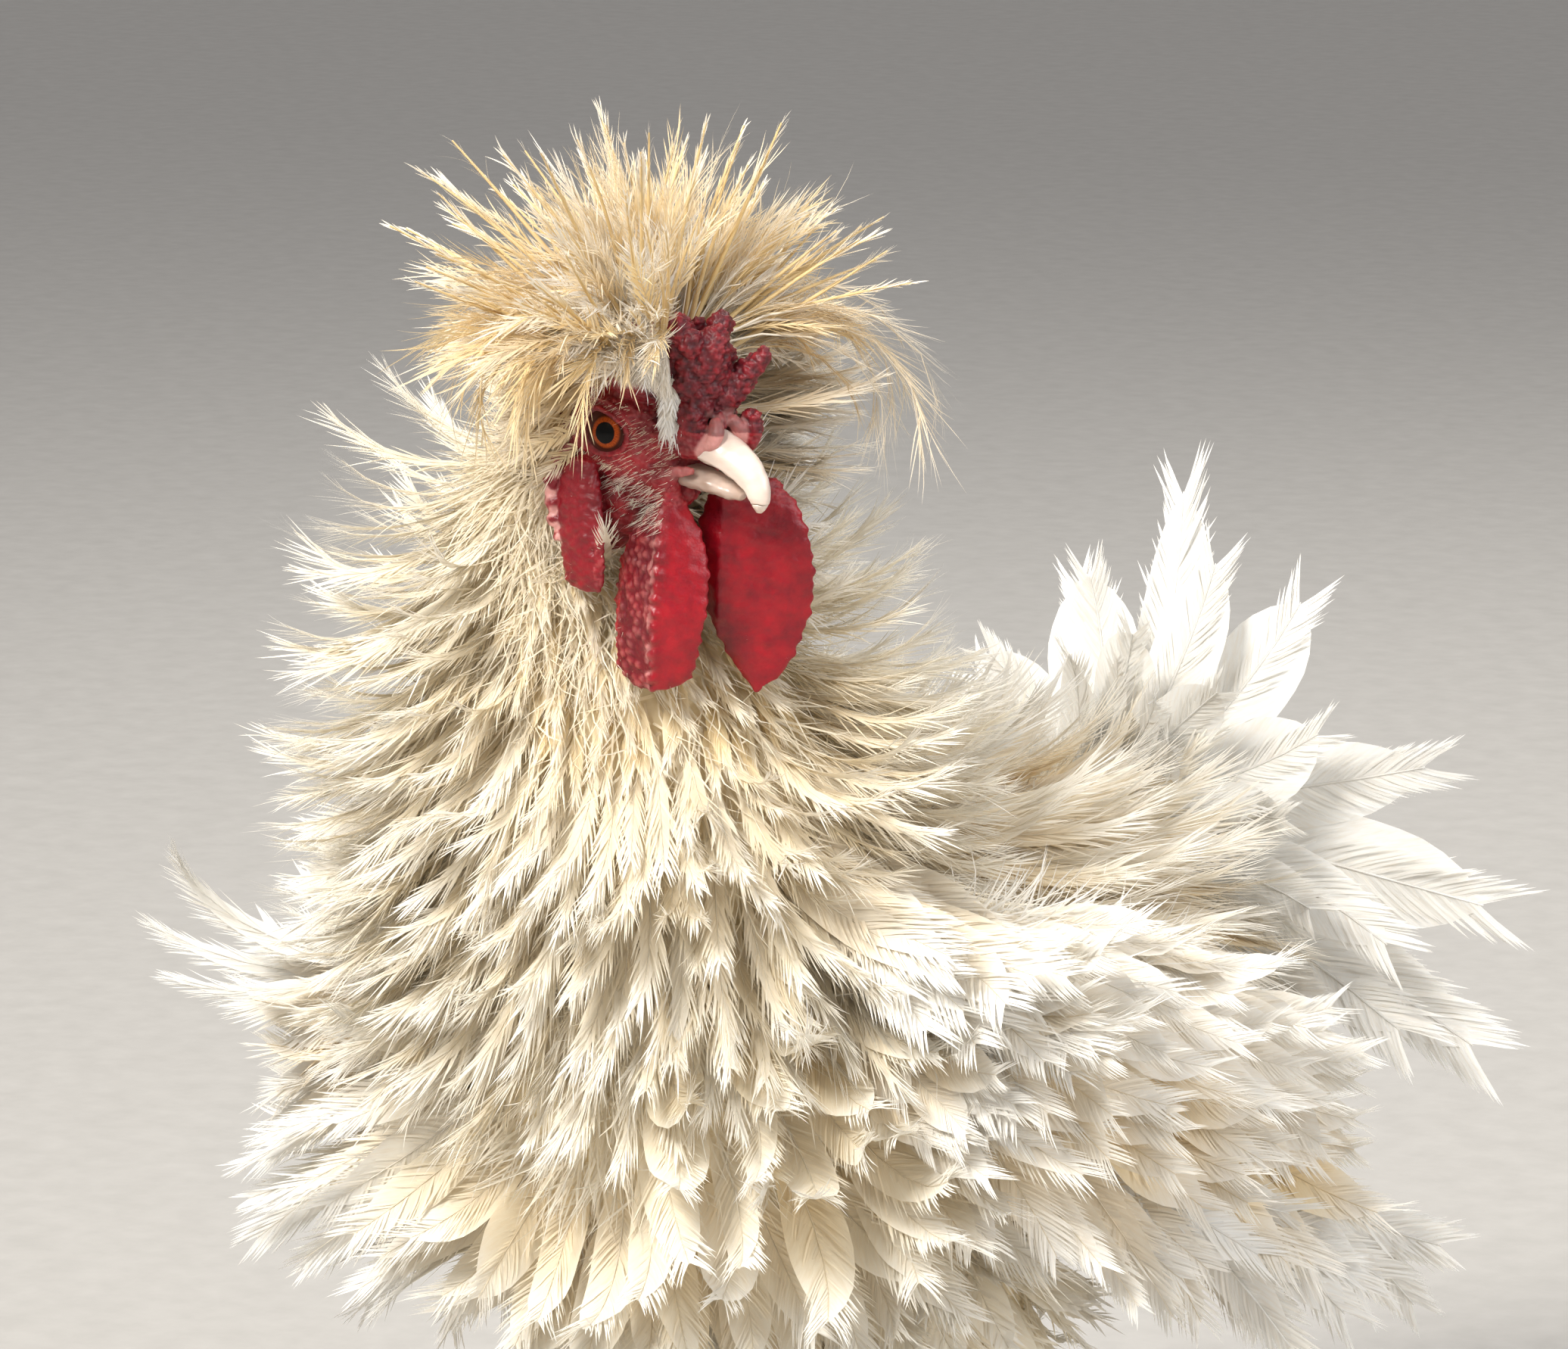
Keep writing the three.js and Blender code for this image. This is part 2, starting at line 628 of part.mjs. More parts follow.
// A wattle is a leaf that hangs from the jaw: a curved sheet, thin at its rim, with a scalloped edge.
function wattle({ top, ahead, out, length, width, hang, bow, fold }) {
  const rows = 9;
  const columns = 7;
  return (grow) => {
    const points = [];
    const triangles = [];
    for (const face of [1, -1]) {
      times(rows, (i, down) => {
        const breadth = width * (0.5 + 0.5 * Math.sin(Math.PI * (0.12 + 0.66 * down))) * (down > 0.9 ? 0.72 : 1);
        times(columns, (j, share) => {
          const u = share - hang;
          const arch = fold * (1 - Math.abs(2 * share - 1)) * Math.sin(Math.PI * (0.2 + 0.6 * down));
          const rim = 1 - 0.65 * Math.abs(2 * share - 1) ** 3;
          const bump = 0.35 * Math.sin(9 * down * Math.PI + 5 * share);
          const thick = 2.3 * rim * (1 - 0.45 * down ** 4) + grow + bump * rim * 0.6;
          const at = top
            .clone()
            .add(vec(0, 0, -length * down))
            .addScaledVector(ahead, (breadth + 2 * grow) * u + 0.8 * Math.sin(14 * down) * (share === 1 ? 1 : 0))
            .addScaledVector(out, bow * down ** 1.2 + arch + face * thick);
          points.push(at.add(vec(0, 0, (down - 0.5) * -2 * grow)));
        });
      });
    }
    const at = (face, i, j) => face * rows * columns + i * columns + j;
    for (let i = 0; i < rows - 1; i++) {
      for (let j = 0; j < columns - 1; j++) {
        const [a, b, c, d] = [at(0, i, j), at(0, i, j + 1), at(0, i + 1, j + 1), at(0, i + 1, j)];
        const half = rows * columns;
        triangles.push([a, b, c], [a, c, d], [c + half, b + half, a + half], [d + half, c + half, a + half]);
      }
    }
    const rim = [
      ...times(columns, (j) => at(0, 0, j)),
      ...times(rows - 1, (i) => at(0, i + 1, columns - 1)),
      ...times(columns - 1, (j) => at(0, rows - 1, columns - 2 - j)),
      ...times(rows - 2, (i) => at(0, rows - 2 - i, 0)),
    ];
    rim.forEach((here, k) => {
      const next = rim[(k + 1) % rim.length];
      const half = rows * columns;
      triangles.push([here, next + half, next], [here, here + half, next + half]);
    });
    return closedSolid(points, triangles);
  };
}

const WATTLES = {
  right: wattle({
    top: vec(-6.5, -17, -13),
    ahead: vec(-0.25, -1, 0).normalize(),
    out: vec(-1, 0.2, 0).normalize(),
    length: 56,
    width: 36,
    hang: 0.5,
    bow: 3,
    fold: 5,
  }),
  left: wattle({
    top: vec(8.5, -22, -13),
    ahead: vec(0.66, -0.75, 0).normalize(),
    out: vec(0.75, 0.66, 0).normalize(),
    length: 55,
    width: 32,
    hang: 0.2,
    bow: 2,
    fold: -3,
  }),
};

const earlobeLimb = (side) =>
  limb(
    [
      [side * 14, 7, -10, 3, 4.5],
      [side * 15.5, 7, -18, 3.4, 8],
      [side * 16.5, 6, -28, 3, 9.5],
      [side * 16.5, 6, -38, 2.4, 7.5],
      [side * 16, 6, -44, 1.4, 4],
    ],
    vec(0, 1, 0),
  );

// Crest: a round knob on the forehead, set with stiff narrow feathers that fall to both sides
const CREST = { centre: [0, -7, 19], size: [18, 17, 14] };
const crestKnob = (grow) => ball(CREST.centre, CREST.size, [0, 0, 0], 14, grow);

function crestVanes(seed) {
  const roll = dice(seed);
  const middle = vec(...CREST.centre);
  const taken = [];
  for (let i = 0; i < 1500; i++) {
    const out = vec(roll(-1, 1), roll(-1, 1), roll(-0.25, 1));
    if (out.length() > 1 || out.length() < 0.2) continue;
    out.normalize();
    const facePart = out.y < -0.55 && out.z < 0.45;
    if (facePart || out.z < -0.12) continue;
    const root = middle.clone().add(vec(out.x * CREST.size[0], out.y * CREST.size[1], out.z * CREST.size[2]));
    if (taken.some((other) => other.root.distanceTo(root) < 6.9)) continue;
    const upright = smoothstep(out.z, 0.45, 0.95);
    taken.push({
      root,
      out: vec(0, 0, 1),
      lie: vec(out.x, out.y, 0).add(vec(roll(-0.2, 0.2), roll(-0.2, 0.2), 0)),
      length: lerp(59, 61, upright) * roll(0.82, 1.08),
      width: roll(6, 9),
      lift: lerp(30, 78, upright) + roll(-8, 8),
      curl: lerp(-62, -12, upright) * roll(0.5, 1.2),
      sweep: roll(-12, 12),
      thick: 1.4,
      sink: 7,
    });
  }
  return taken;
}

// Nodes, each cut clear of those already placed
const torsoParts = build([torsoCore], torsoVanes);
const torsoRoom = torsoCore(GAP);
const headCores = [skull, jaw, lid(1), lid(-1)];
const headParts = build(headCores);
const headRoom = inBody(headParts.room);

const upperBeak = build([(grow) => loft(upperBeakLimb, 7, 9, grow), nostrilLobe(1), nostrilLobe(-1)]);
const lowerBeak = build([(grow) => loft(lowerBeakLimb, 6, 8, grow)]);
const comb = build(combBulbs());
const crest = build([crestKnob], crestVanes(31));
const earlobes = { left: build([(grow) => loft(earlobeLimb(1), 8, 8, grow)]) };
earlobes.right = build([(grow) => loft(earlobeLimb(-1), 8, 8, grow)]);
const wattles = { left: build([WATTLES.left]), right: build([WATTLES.right]) };

const hanging = [earlobes.left, earlobes.right, wattles.left, wattles.right].map((part) => inBody(part.room));
const neck = clearOf(build([neckCore], hackleVanes), torsoRoom, headRoom, ...hanging);
const neckRoom = neck.room;
const group = new THREE.Group();

function addNode(name, part, material, parent = group) {
  const mesh = (part.solid ?? part).getMesh();
  const geometry = new THREE.BufferGeometry();
  geometry.setAttribute("position", new THREE.BufferAttribute(mesh.vertProperties, 3));
  geometry.setIndex(new THREE.BufferAttribute(mesh.triVerts, 1));
  geometry.computeVertexNormals();
  const node = new THREE.Mesh(geometry, material);
  node.name = name;
  parent.add(node);
}

// Head pieces, kept in the head's own turned frame
const headCut = clearOf(
  headParts,
  upperBeak.room,
  lowerBeak.room,
  eyeBall(1, GAP),
  eyeBall(-1, GAP),
  earCup(1),
  earCup(-1),
);
addNode("head", headCut, RED_SKIN, headFrame);
addNode("upper_beak", clearOf(upperBeak, nostrilSlit(1), nostrilSlit(-1)), HORN, headFrame);
addNode("lower_beak", clearOf(lowerBeak, upperBeak.room), HORN, headFrame);
const combCut = clearOf(comb, headParts.room, upperBeak.room);
addNode("comb", combCut, RED_SKIN, headFrame);
const crestCut = clearOf(crest, headParts.room, comb.room, inHead(neckRoom));
addNode("crest", crestCut, BUFF, headFrame);
for (const [name, side] of [["left", 1], ["right", -1]]) {
  addNode("eye_" + name, { solid: eyeBall(side) }, EYE, headFrame);
  const faceRooms = [headParts.room, upperBeak.room, lowerBeak.room];
  addNode("earlobe_" + name, clearOf(earlobes[name], ...faceRooms), RED_SKIN, headFrame);
  const wattleRooms = [...faceRooms, earlobes[name].room];
  addNode("wattle_" + name, clearOf(wattles[name], ...wattleRooms), RED_SKIN, headFrame);
}
group.add(headFrame);

addNode("neck", neck, CREAM);

// Body pieces
const wingParts = {};
for (const [name, side] of [["left", 1], ["right", -1]]) {
  const core = (grow) => loft(wingLimb(side), 7, 9, grow);
  const wing = build([core], [...wingVanes(side, 40 + side), ...(side < 0 ? plumeVanes() : [])]);
  wingParts[name] = wing;
  addNode("wing_" + name, clearOf(wing, torsoRoom, neckRoom), WHITE);
}
const tail = build([(grow) => loft(tailLimb, 4, 9, grow)], tailVanes(52));
addNode("tail", clearOf(tail, torsoRoom, wingParts.left.room, wingParts.right.room), WHITE);

const thighRooms = [];
for (const [name, side] of [["left", 1], ["right", -1]]) {
  const shank = build([(grow) => shankSolid(side, grow)]);
  const thigh = build(
    [(grow) => loft(thighLimb(side), 7, 10, grow)],
    coat(thighLimb(side), thighStyle, { seed: 60 + side, throws: 700, from: 0.28, to: 0.86 }),
  );
  thighRooms.push(thigh.room);
  addNode("thigh_" + name, clearOf(thigh, torsoRoom, wingParts[name].room), CREAM);
  const thighRoom = loft(thighLimb(side), 7, 10, GAP);
  addNode("shank_" + name, clearOf(shank, thighRoom), LEG_SKIN);
  const toes = TOES.map((toe) => (grow) => loft(toeLimb(side, toe), 5, 6, grow));
  const ankle = (grow) => ball([side * STANCE_HALF_WIDTH, ANKLE.y, 9], [9, 10, 8], [0, 0, 0], 7, grow);
  const foot = build([...toes, ankle]);
  addNode("foot_" + name, clearOf(foot, shank.room, underFloor(0)), LEG_SKIN);
  TOES.forEach((toe, i) => {
    const claw = { solid: loft(clawLimb(side, toe), 3, 5), room: null };
    addNode(`claw_${name}_${i + 1}`, clearOf(claw, foot.room, underFloor(0)), HORN);
  });
}
const besideTorso = [neckRoom, wingParts.left.room, wingParts.right.room, tail.room, ...thighRooms];
addNode("torso", clearOf(torsoParts, ...besideTorso), CREAM);

// The floor is z = 0, and the origin lies under the middle of the whole bird.
group.updateMatrixWorld(true);
const reach = new THREE.Box3().setFromObject(group, true);
group.position.set(-(reach.min.x + reach.max.x) / 2, -(reach.min.y + reach.max.y) / 2, -reach.min.z);

export default group;
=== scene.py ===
"""A crested frizzle rooster as a still, life-size model, on a plain pale floor.

Sizes are in millimetres in the bird's own frame: it faces -Y, its left is +X and +Z is up.
They are turned into metres and moved onto the CAD frame when a mesh is made.
"""

import math

import bpy
import numpy as np
from mathutils import Matrix, Vector


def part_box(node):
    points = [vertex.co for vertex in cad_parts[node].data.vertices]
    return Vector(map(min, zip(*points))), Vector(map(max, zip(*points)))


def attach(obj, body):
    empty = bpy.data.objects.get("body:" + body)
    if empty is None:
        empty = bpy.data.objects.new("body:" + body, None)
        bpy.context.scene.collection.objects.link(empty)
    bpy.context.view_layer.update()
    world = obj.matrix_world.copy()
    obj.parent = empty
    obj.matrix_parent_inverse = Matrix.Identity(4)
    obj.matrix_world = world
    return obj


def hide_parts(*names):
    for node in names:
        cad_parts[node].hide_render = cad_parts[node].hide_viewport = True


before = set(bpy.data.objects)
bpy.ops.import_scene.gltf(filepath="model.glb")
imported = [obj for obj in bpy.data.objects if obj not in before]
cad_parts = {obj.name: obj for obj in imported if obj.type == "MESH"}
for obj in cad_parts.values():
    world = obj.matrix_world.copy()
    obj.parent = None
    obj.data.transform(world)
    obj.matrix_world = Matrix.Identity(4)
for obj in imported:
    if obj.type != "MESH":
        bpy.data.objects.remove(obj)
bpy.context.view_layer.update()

MM = 0.001
SEED = 20
MOST_TRIANGLES = 190000
POINTS_AT_ONCE = 60000

# Driving sizes, the same as those of the solids
EYE_HEIGHT = 420.0
BODY_MIDDLE = 231.0
BODY_HALF_WIDTH = 84.0
HOCK_HEIGHT = 106.0
STANCE = 44.0
ANKLE_Y = 26.0
ANKLE_Z = 15.0
PARTING_X = 26.0
VIEW = math.radians(37)
HEAD_PLACE = (24.0, -90.0, EYE_HEIGHT)
HEAD_YAW = 84.0
HEAD_PITCH = 5.0
EYE_BALL = np.array([8.6, -1.0, 0.0])
EYE_RADIUS = 8.0


# Numbers and vectors

def lerp(a, b, share):
    return a + (b - a) * share


def clamp(x, low=0.0, high=1.0):
    return np.clip(x, low, high)


def ramp(x, low, high):
    """0 below low, 1 above high, and smooth between them."""
    t = clamp((np.asarray(x, float) - low) / (high - low))
    return t * t * (3 - 2 * t)


def length_of(v):
    return np.sqrt((v * v).sum(-1, keepdims=True))


def unit(v):
    return v / np.maximum(length_of(v), 1e-9)


def dot(a, b):
    return (a * b).sum(-1)


def rows_of(*columns):
    """Columns of numbers, some of them single, as an array of vectors."""
    return np.stack(np.broadcast_arrays(*[np.asarray(c, float) for c in columns]), -1)


def turn_matrix(yaw, pitch):
    """A turn by pitch about X, then by yaw about Z."""
    a, b = math.radians(yaw), math.radians(pitch)
    about_z = np.array([[math.cos(a), -math.sin(a), 0], [math.sin(a), math.cos(a), 0], [0, 0, 1]])
    about_x = np.array([[1, 0, 0], [0, math.cos(b), -math.sin(b)], [0, math.sin(b), math.cos(b)]])
    return about_z @ about_x


HEAD_TURN = turn_matrix(HEAD_YAW, HEAD_PITCH)


def from_head(points):
    """Points of the head's own frame, in the bird's frame."""
    return np.asarray(points, float) @ HEAD_TURN.T + np.array(HEAD_PLACE)


def head_way(directions):
    return np.asarray(directions, float) @ HEAD_TURN.T


eye_low, eye_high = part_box("eye_left")
eye_middle = (np.array(eye_low) + np.array(eye_high)) / 2
SHIFT = eye_middle - from_head([EYE_BALL])[0] * MM


def rumple(points, size, seed, waves=14):
    """A smooth random field between about -1 and 1, with bumps of a given size."""
    dice = np.random.default_rng(seed)
    field = np.zeros(len(points))
    for _ in range(waves):
        way = unit(dice.normal(size=3)) / size * dice.uniform(0.6, 1.5)
        field += np.sin(2 * math.pi * (points @ way) + dice.uniform(0, 2 * math.pi))
    return field / math.sqrt(waves)


def pebbles(points, size, seed):
    """How far each point is from the nearest of many scattered centres: 0 at one, about 1 between them."""
    scaled = points / size
    cell = np.floor(scaled)
    mixing = np.array([[127.1, 269.5, 419.2], [311.7, 183.3, 371.9], [74.7, 246.1, 168.3]])
    best = np.full(len(points), 9.0)
    for step in np.ndindex(3, 3, 3):
        corner = cell + np.array(step) - 1
        mixed = np.sin(corner @ mixing + seed) * 43758.5453
        centre = corner + mixed - np.floor(mixed)
        best = np.minimum(best, ((scaled - centre) ** 2).sum(1))
    return np.sqrt(best)


# Limbs

class Limb:
    """A row of [x, y, z, half width, half depth] along a smooth path.

    The half width lies across the hint direction and the half depth along it.
    """

    def __init__(self, rows, hint):
        self.rows = np.array(rows, float)
        self.hint = np.array(hint, float)

    def path(self, t):
        places = self.rows[:, :3]
        last = len(places) - 1
        at = clamp(t) * last
        i = np.minimum(at.astype(int), last - 1)
        w = (at - i)[:, None]
        ends = [2 * places[0] - places[1]], [2 * places[-1] - places[-2]]
        padded = np.vstack([ends[0], places, ends[1]])
        a, b, c, d = (padded[i + k] for k in range(4))
        first, second = (c - a) / 2, (d - b) / 2
        bend = 2 * b - 2 * c + first + second
        rise = -3 * b + 3 * c - 2 * first - second
        return ((bend * w + rise) * w + first) * w + b

    def section(self, t):
        ahead = unit(self.path(t + 0.004) - self.path(t - 0.004))
        across = unit(np.cross(ahead, self.hint))
        deep = np.cross(across, ahead)
        stations = np.linspace(0, 1, len(self.rows))
        wide = np.interp(t, stations, self.rows[:, 3])
        tall = np.interp(t, stations, self.rows[:, 4])
        return self.path(t), across, deep, wide, tall

    def point(self, t, angle, grow=0.0):
        centre, across, deep, wide, tall = self.section(t)
        reach_x = ((wide + grow) * np.cos(angle))[:, None]
        reach_y = ((tall + grow) * np.sin(angle))[:, None]
        return centre + across * reach_x + deep * reach_y

    def normal(self, t, angle):
        step = 0.01
        along = self.point(t + step, angle) - self.point(t - step, angle)
        around = self.point(t, angle + step) - self.point(t, angle - step)
        out = unit(np.cross(along, around))
        side = np.sign(dot(out, self.point(t, angle) - self.path(t)))
        return out * np.where(side == 0, 1, side)[:, None]

    def roots(self, spacing, span, dice):
        """Shares and angles of points that lie in even rows round the limb, a little out of line."""
        fine = np.linspace(span[0], span[1], 200)
        travel = np.concatenate([[0], np.cumsum(length_of(np.diff(self.path(fine), axis=0))[:, 0])])
        rings = max(2, int(travel[-1] / (0.87 * spacing)))
        shares, angles = [], []
        for k in range(rings):
            t = np.interp(travel[-1] * (k + 0.5) / rings, travel, fine)
            wide, tall = (float(v[0]) for v in self.section(np.array([t]))[3:])
            count = max(3, int(math.pi * (wide + tall) / spacing))
            turn = 2 * math.pi * (np.arange(count) + 0.5 * (k % 2)) / count
            shares.append(t + dice.uniform(-0.3, 0.3, count) * (span[1] - span[0]) / rings)
            angles.append(turn + dice.uniform(-0.3, 0.3, count) * 2 * math.pi / count)
        return np.concatenate(shares), np.concatenate(angles)


def grid_faces(rows, columns, closed):
    """Triangles of a grid of points, whose columns may run round a ring."""
    i, j = np.meshgrid(np.arange(rows - 1), np.arange(columns if closed else columns - 1), indexing="ij")
    a = i * columns + j
    b = i * columns + (j + 1) % columns
    quads = np.stack([a, b, b + columns, a + columns], -1).reshape(-1, 4)
    return np.vstack([quads[:, [0, 1, 2]], quads[:, [0, 2, 3]]])


def loft(limb, rings, sides, grow=0.0, bump=None, reshape=None):
    """The closed surface of a limb: points and triangles."""
    t = np.repeat(np.linspace(0, 1, rings), sides)
    angle = np.tile(2 * math.pi * np.arange(sides) / sides, rings)
    extra = bump(t, angle) if bump else 0.0
    if reshape:
        centre, across, deep, wide, tall = limb.section(t)
        x, y = reshape(t, angle)
        points = centre + across * ((wide + extra) * x)[:, None] + deep * ((tall + extra) * y)[:, None]
    else:
        points = limb.point(t, angle, grow + extra)
    triangles = grid_faces(rings, sides, True)
    ends = limb.path(np.array([0.0, 1.0]))
    ways = unit(ends - limb.path(np.array([0.03, 0.97])))
    caps = ends + ways * (grow + 0.35 * limb.rows[[0, -1], 3:].min(1)[:, None])
    total = len(points)
    j = np.arange(sides)
    k = (j + 1) % sides
    first = np.stack([k, j, np.full(sides, total)], -1)
    base = (rings - 1) * sides
    second = np.stack([base + j, base + k, np.full(sides, total + 1)], -1)
    return np.vstack([points, caps]), np.vstack([triangles, first, second])


def ball(centre, size, tilt=0.0, detail=24):
    """An ellipsoid tilted about X: points and triangles."""
    theta = np.repeat(np.linspace(0.06, math.pi - 0.06, detail), detail)
    phi = np.tile(2 * math.pi * np.arange(detail) / detail, detail)
    points = rows_of(np.sin(theta) * np.cos(phi), np.sin(theta) * np.sin(phi), np.cos(theta))
    points = np.vstack([points, [[0, 0, 1], [0, 0, -1]]]) * np.array(size, float)
    points = points @ turn_matrix(0, tilt).T + np.array(centre, float)
    triangles = grid_faces(detail, detail, True)
    j = np.arange(detail)
    k = (j + 1) % detail
    total = detail * detail
    base = total - detail
    top = np.stack([k, j, np.full(detail, total)], -1)
    bottom = np.stack([base + j, base + k, np.full(detail, total + 1)], -1)
    return points, np.vstack([triangles, top, bottom])


def face_out(points, triangles):
    """The triangles turned so that a closed surface faces out."""
    a, b, c = (points[triangles[:, k]] for k in range(3))
    volume = dot(a, np.cross(b, c)).sum()
    return triangles if volume > 0 else triangles[:, ::-1]


def joined(shapes):
    """Several closed surfaces in one pair of arrays."""
    points, triangles, start = [], [], 0
    for shape_points, shape_triangles in shapes:
        points.append(shape_points)
        triangles.append(face_out(shape_points, shape_triangles) + start)
        start += len(shape_points)
    return np.vstack(points), np.vstack(triangles)


# Meshes

def new_mesh(name, points, triangles):
    """A mesh data block made straight from arrays."""
    mesh = bpy.data.meshes.new(name)
    mesh.vertices.add(len(points))
    mesh.vertices.foreach_set("co", np.ascontiguousarray(points, np.float32).ravel())
    mesh.loops.add(len(triangles) * 3)
    mesh.loops.foreach_set("vertex_index", np.ascontiguousarray(triangles, np.int32).ravel())
    mesh.polygons.add(len(triangles))
    mesh.polygons.foreach_set("loop_start", np.arange(0, len(triangles) * 3, 3, dtype=np.int32))
    mesh.update(calc_edges=True)
    mesh.shade_smooth()
    return mesh


def points_of(mesh):
    flat = np.empty(len(mesh.vertices) * 3, np.float32)
    mesh.vertices.foreach_get("co", flat)
    return flat.reshape(-1, 3).astype(float)


def normals_of(mesh):
    flat = np.empty(len(mesh.vertices) * 3, np.float32)
    mesh.vertex_normals.foreach_get("vector", flat)
    return flat.reshape(-1, 3).astype(float)


def triangles_of(mesh):
    mesh.calc_loop_triangles()
    flat = np.empty(len(mesh.loop_triangles) * 3, np.int32)
    mesh.loop_triangles.foreach_get("vertices", flat)
    return flat.reshape(-1, 3)


def fused(shapes, voxel, smoothing):
    """Closed surfaces melted into one skin. Returns its points, normals and triangles."""
    made = bpy.data.objects.new("melt", new_mesh("melt", *joined(shapes)))
    bpy.context.scene.collection.objects.link(made)
    remesh = made.modifiers.new("remesh", "REMESH")
    remesh.mode = "VOXEL"
    remesh.voxel_size = voxel
    relax = made.modifiers.new("relax", "SMOOTH")
    relax.factor = 0.5
    relax.iterations = smoothing
    shown = made.evaluated_get(bpy.context.evaluated_depsgraph_get())
    mesh = bpy.data.meshes.new_from_object(shown)
    result = points_of(mesh), normals_of(mesh), triangles_of(mesh)
    bpy.data.objects.remove(made)
    bpy.data.meshes.remove(mesh)
    return result


def add_attribute(mesh, name, kind, values):
    layer = mesh.attributes.new(name, kind, "POINT")
    key = "value" if kind == "FLOAT" else "vector"
    layer.data.foreach_set(key, np.ascontiguousarray(values, np.float32).ravel())


def add_piece(name, mesh, nodes=()):
    """An object of the bird from a mesh in millimetres, moved onto the CAD frame."""
    places = points_of(mesh) * MM + SHIFT
    mesh.vertices.foreach_set("co", places.astype(np.float32).ravel())
    mesh.update()
    piece = bpy.data.objects.new(name, mesh)
    bpy.context.scene.collection.objects.link(piece)
    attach(piece, "root")
    if nodes:
        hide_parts(*nodes)
    return piece


# Materials

class Shader:
    """A short way to write a material as lines of nodes."""

    def __init__(self, name):
        self.material = bpy.data.materials.new(name)
        self.material.use_nodes = True
        self.tree = self.material.node_tree
        self.tree.nodes.clear()

    def node(self, kind, inputs=None, **settings):
        made = self.tree.nodes.new(kind)
        for key, value in settings.items():
            setattr(made, key, value)
        for key, value in (inputs or {}).items():
            if isinstance(value, bpy.types.NodeSocket):
                self.tree.links.new(value, made.inputs[key])
            else:
                made.inputs[key].default_value = value
        return made

    def attribute(self, name):
        return self.node("ShaderNodeAttribute", attribute_name=name)

    def parts(self, name):
        """The three numbers that a mesh attribute holds at each point."""
        return self.node("ShaderNodeSeparateXYZ", {0: self.attribute(name).outputs["Vector"]}).outputs

    def place(self):
        return self.node("ShaderNodeTexCoord").outputs["Object"]

    def math(self, operation, a, b):
        return self.node("ShaderNodeMath", {0: a, 1: b}, operation=operation).outputs[0]

    def stretch(self, place, factors):
        return self.node("ShaderNodeVectorMath", {0: place, 1: factors}, operation="MULTIPLY").outputs[0]

    def mix(self, share, a, b, blend="MIX"):
        made = self.node("ShaderNodeMix", data_type="RGBA", blend_type=blend)
        for socket, value in ((made.inputs[0], share), (made.inputs[6], a), (made.inputs[7], b)):
            if isinstance(value, bpy.types.NodeSocket):
                self.tree.links.new(value, socket)
            else:
                socket.default_value = value
        return made.outputs[2]

    def spread(self, value, from_low, from_high, to_low=0.0, to_high=1.0):
        inputs = {"Value": value, "From Min": from_low, "From Max": from_high}
        inputs.update({"To Min": to_low, "To Max": to_high})
        return self.node("ShaderNodeMapRange", inputs, clamp=True).outputs[0]

    def noise(self, scale, detail, roughness, place):
        inputs = {"Scale": scale, "Detail": detail, "Roughness": roughness, "Vector": place}
        return self.node("ShaderNodeTexNoise", inputs).outputs[0]

    def cells(self, scale, place):
        return self.node("ShaderNodeTexVoronoi", {"Scale": scale, "Vector": place}).outputs["Distance"]

    def bump(self, height, strength, distance, normal=None):
        inputs = {"Strength": strength, "Distance": distance, "Height": height}
        if normal is not None:
            inputs["Normal"] = normal
        return self.node("ShaderNodeBump", inputs).outputs[0]

    def principled(self, tone, roughness, **more):
        """The usual surface shader. In the names of more, words are joined by _."""
        inputs = {"Base Color": tone, "Roughness": roughness}
        inputs.update({key.replace("_", " "): value for key, value in more.items()})
        return self.node("ShaderNodeBsdfPrincipled", inputs).outputs[0]

    def finish(self, surface):
        output = self.node("ShaderNodeOutputMaterial")
        self.tree.links.new(surface, output.inputs["Surface"])
        return self.material


def colour(red, green, blue):
    """A colour given as it looks on a screen, 0 to 255, for a shader socket."""
    def straight(c):
        c = c / 255
        return c / 12.92 if c < 0.04045 else ((c + 0.055) / 1.055) ** 2.4
    return (straight(red), straight(green), straight(blue), 1.0)


CREAM = colour(248, 240, 218)
BUFF = colour(240, 214, 156)
WHITE = colour(252, 251, 247)
# A deep buff, used only for painted shade in the grooves of the feathers' streaks
GROOVE_SHADE_BUFF = colour(222, 186, 120)


def feather_material(name, ground):
    """Fine lengthwise streaks on every barb, with painted shade in their grooves, tinted by what each
    feather carries.

    plume holds how white, how buff and how different each barb is, and strand where a point lies on it.
    """
    sh = Shader(name)
    parts = sh.parts("plume")
    strand = sh.attribute("strand").outputs["Vector"]
    streaks = sh.noise(1.0, 3.0, 0.6, sh.stretch(strand, (2.4, 0.16, 1.0)))
    clouds = sh.noise(38.0, 2.0, 0.5, sh.place())
    tone = sh.mix(parts[1], ground, BUFF)
    tone = sh.mix(parts[0], tone, WHITE)
    # Painted shade: the low streaks, which the bump sinks into grooves, are darkened toward a deep buff.
    groove_shade = sh.spread(streaks, 0.3, 0.58, 0.3, 0.0)
    tone = sh.mix(groove_shade, tone, sh.mix(0.55, tone, GROOVE_SHADE_BUFF))
    light = sh.math("ADD", sh.spread(clouds, 0.3, 0.7, 0.93, 1.0), sh.spread(parts[2], 0.0, 1.0, -0.1, 0.06))
    shade = sh.node("ShaderNodeCombineColor", {0: light, 1: light, 2: light}).outputs[0]
    tone = sh.mix(1.0, tone, shade, "MULTIPLY")
    surface = sh.principled(tone, 0.62, Specular_IOR_Level=0.3, Normal=sh.bump(streaks, 0.35, 0.0003),
                            Sheen_Weight=0.15, Sheen_Roughness=0.4)
    glow = sh.node("ShaderNodeBsdfTranslucent", {"Color": tone}).outputs[0]
    return sh.finish(sh.node("ShaderNodeMixShader", {0: 0.3, 1: surface, 2: glow}).outputs[0])


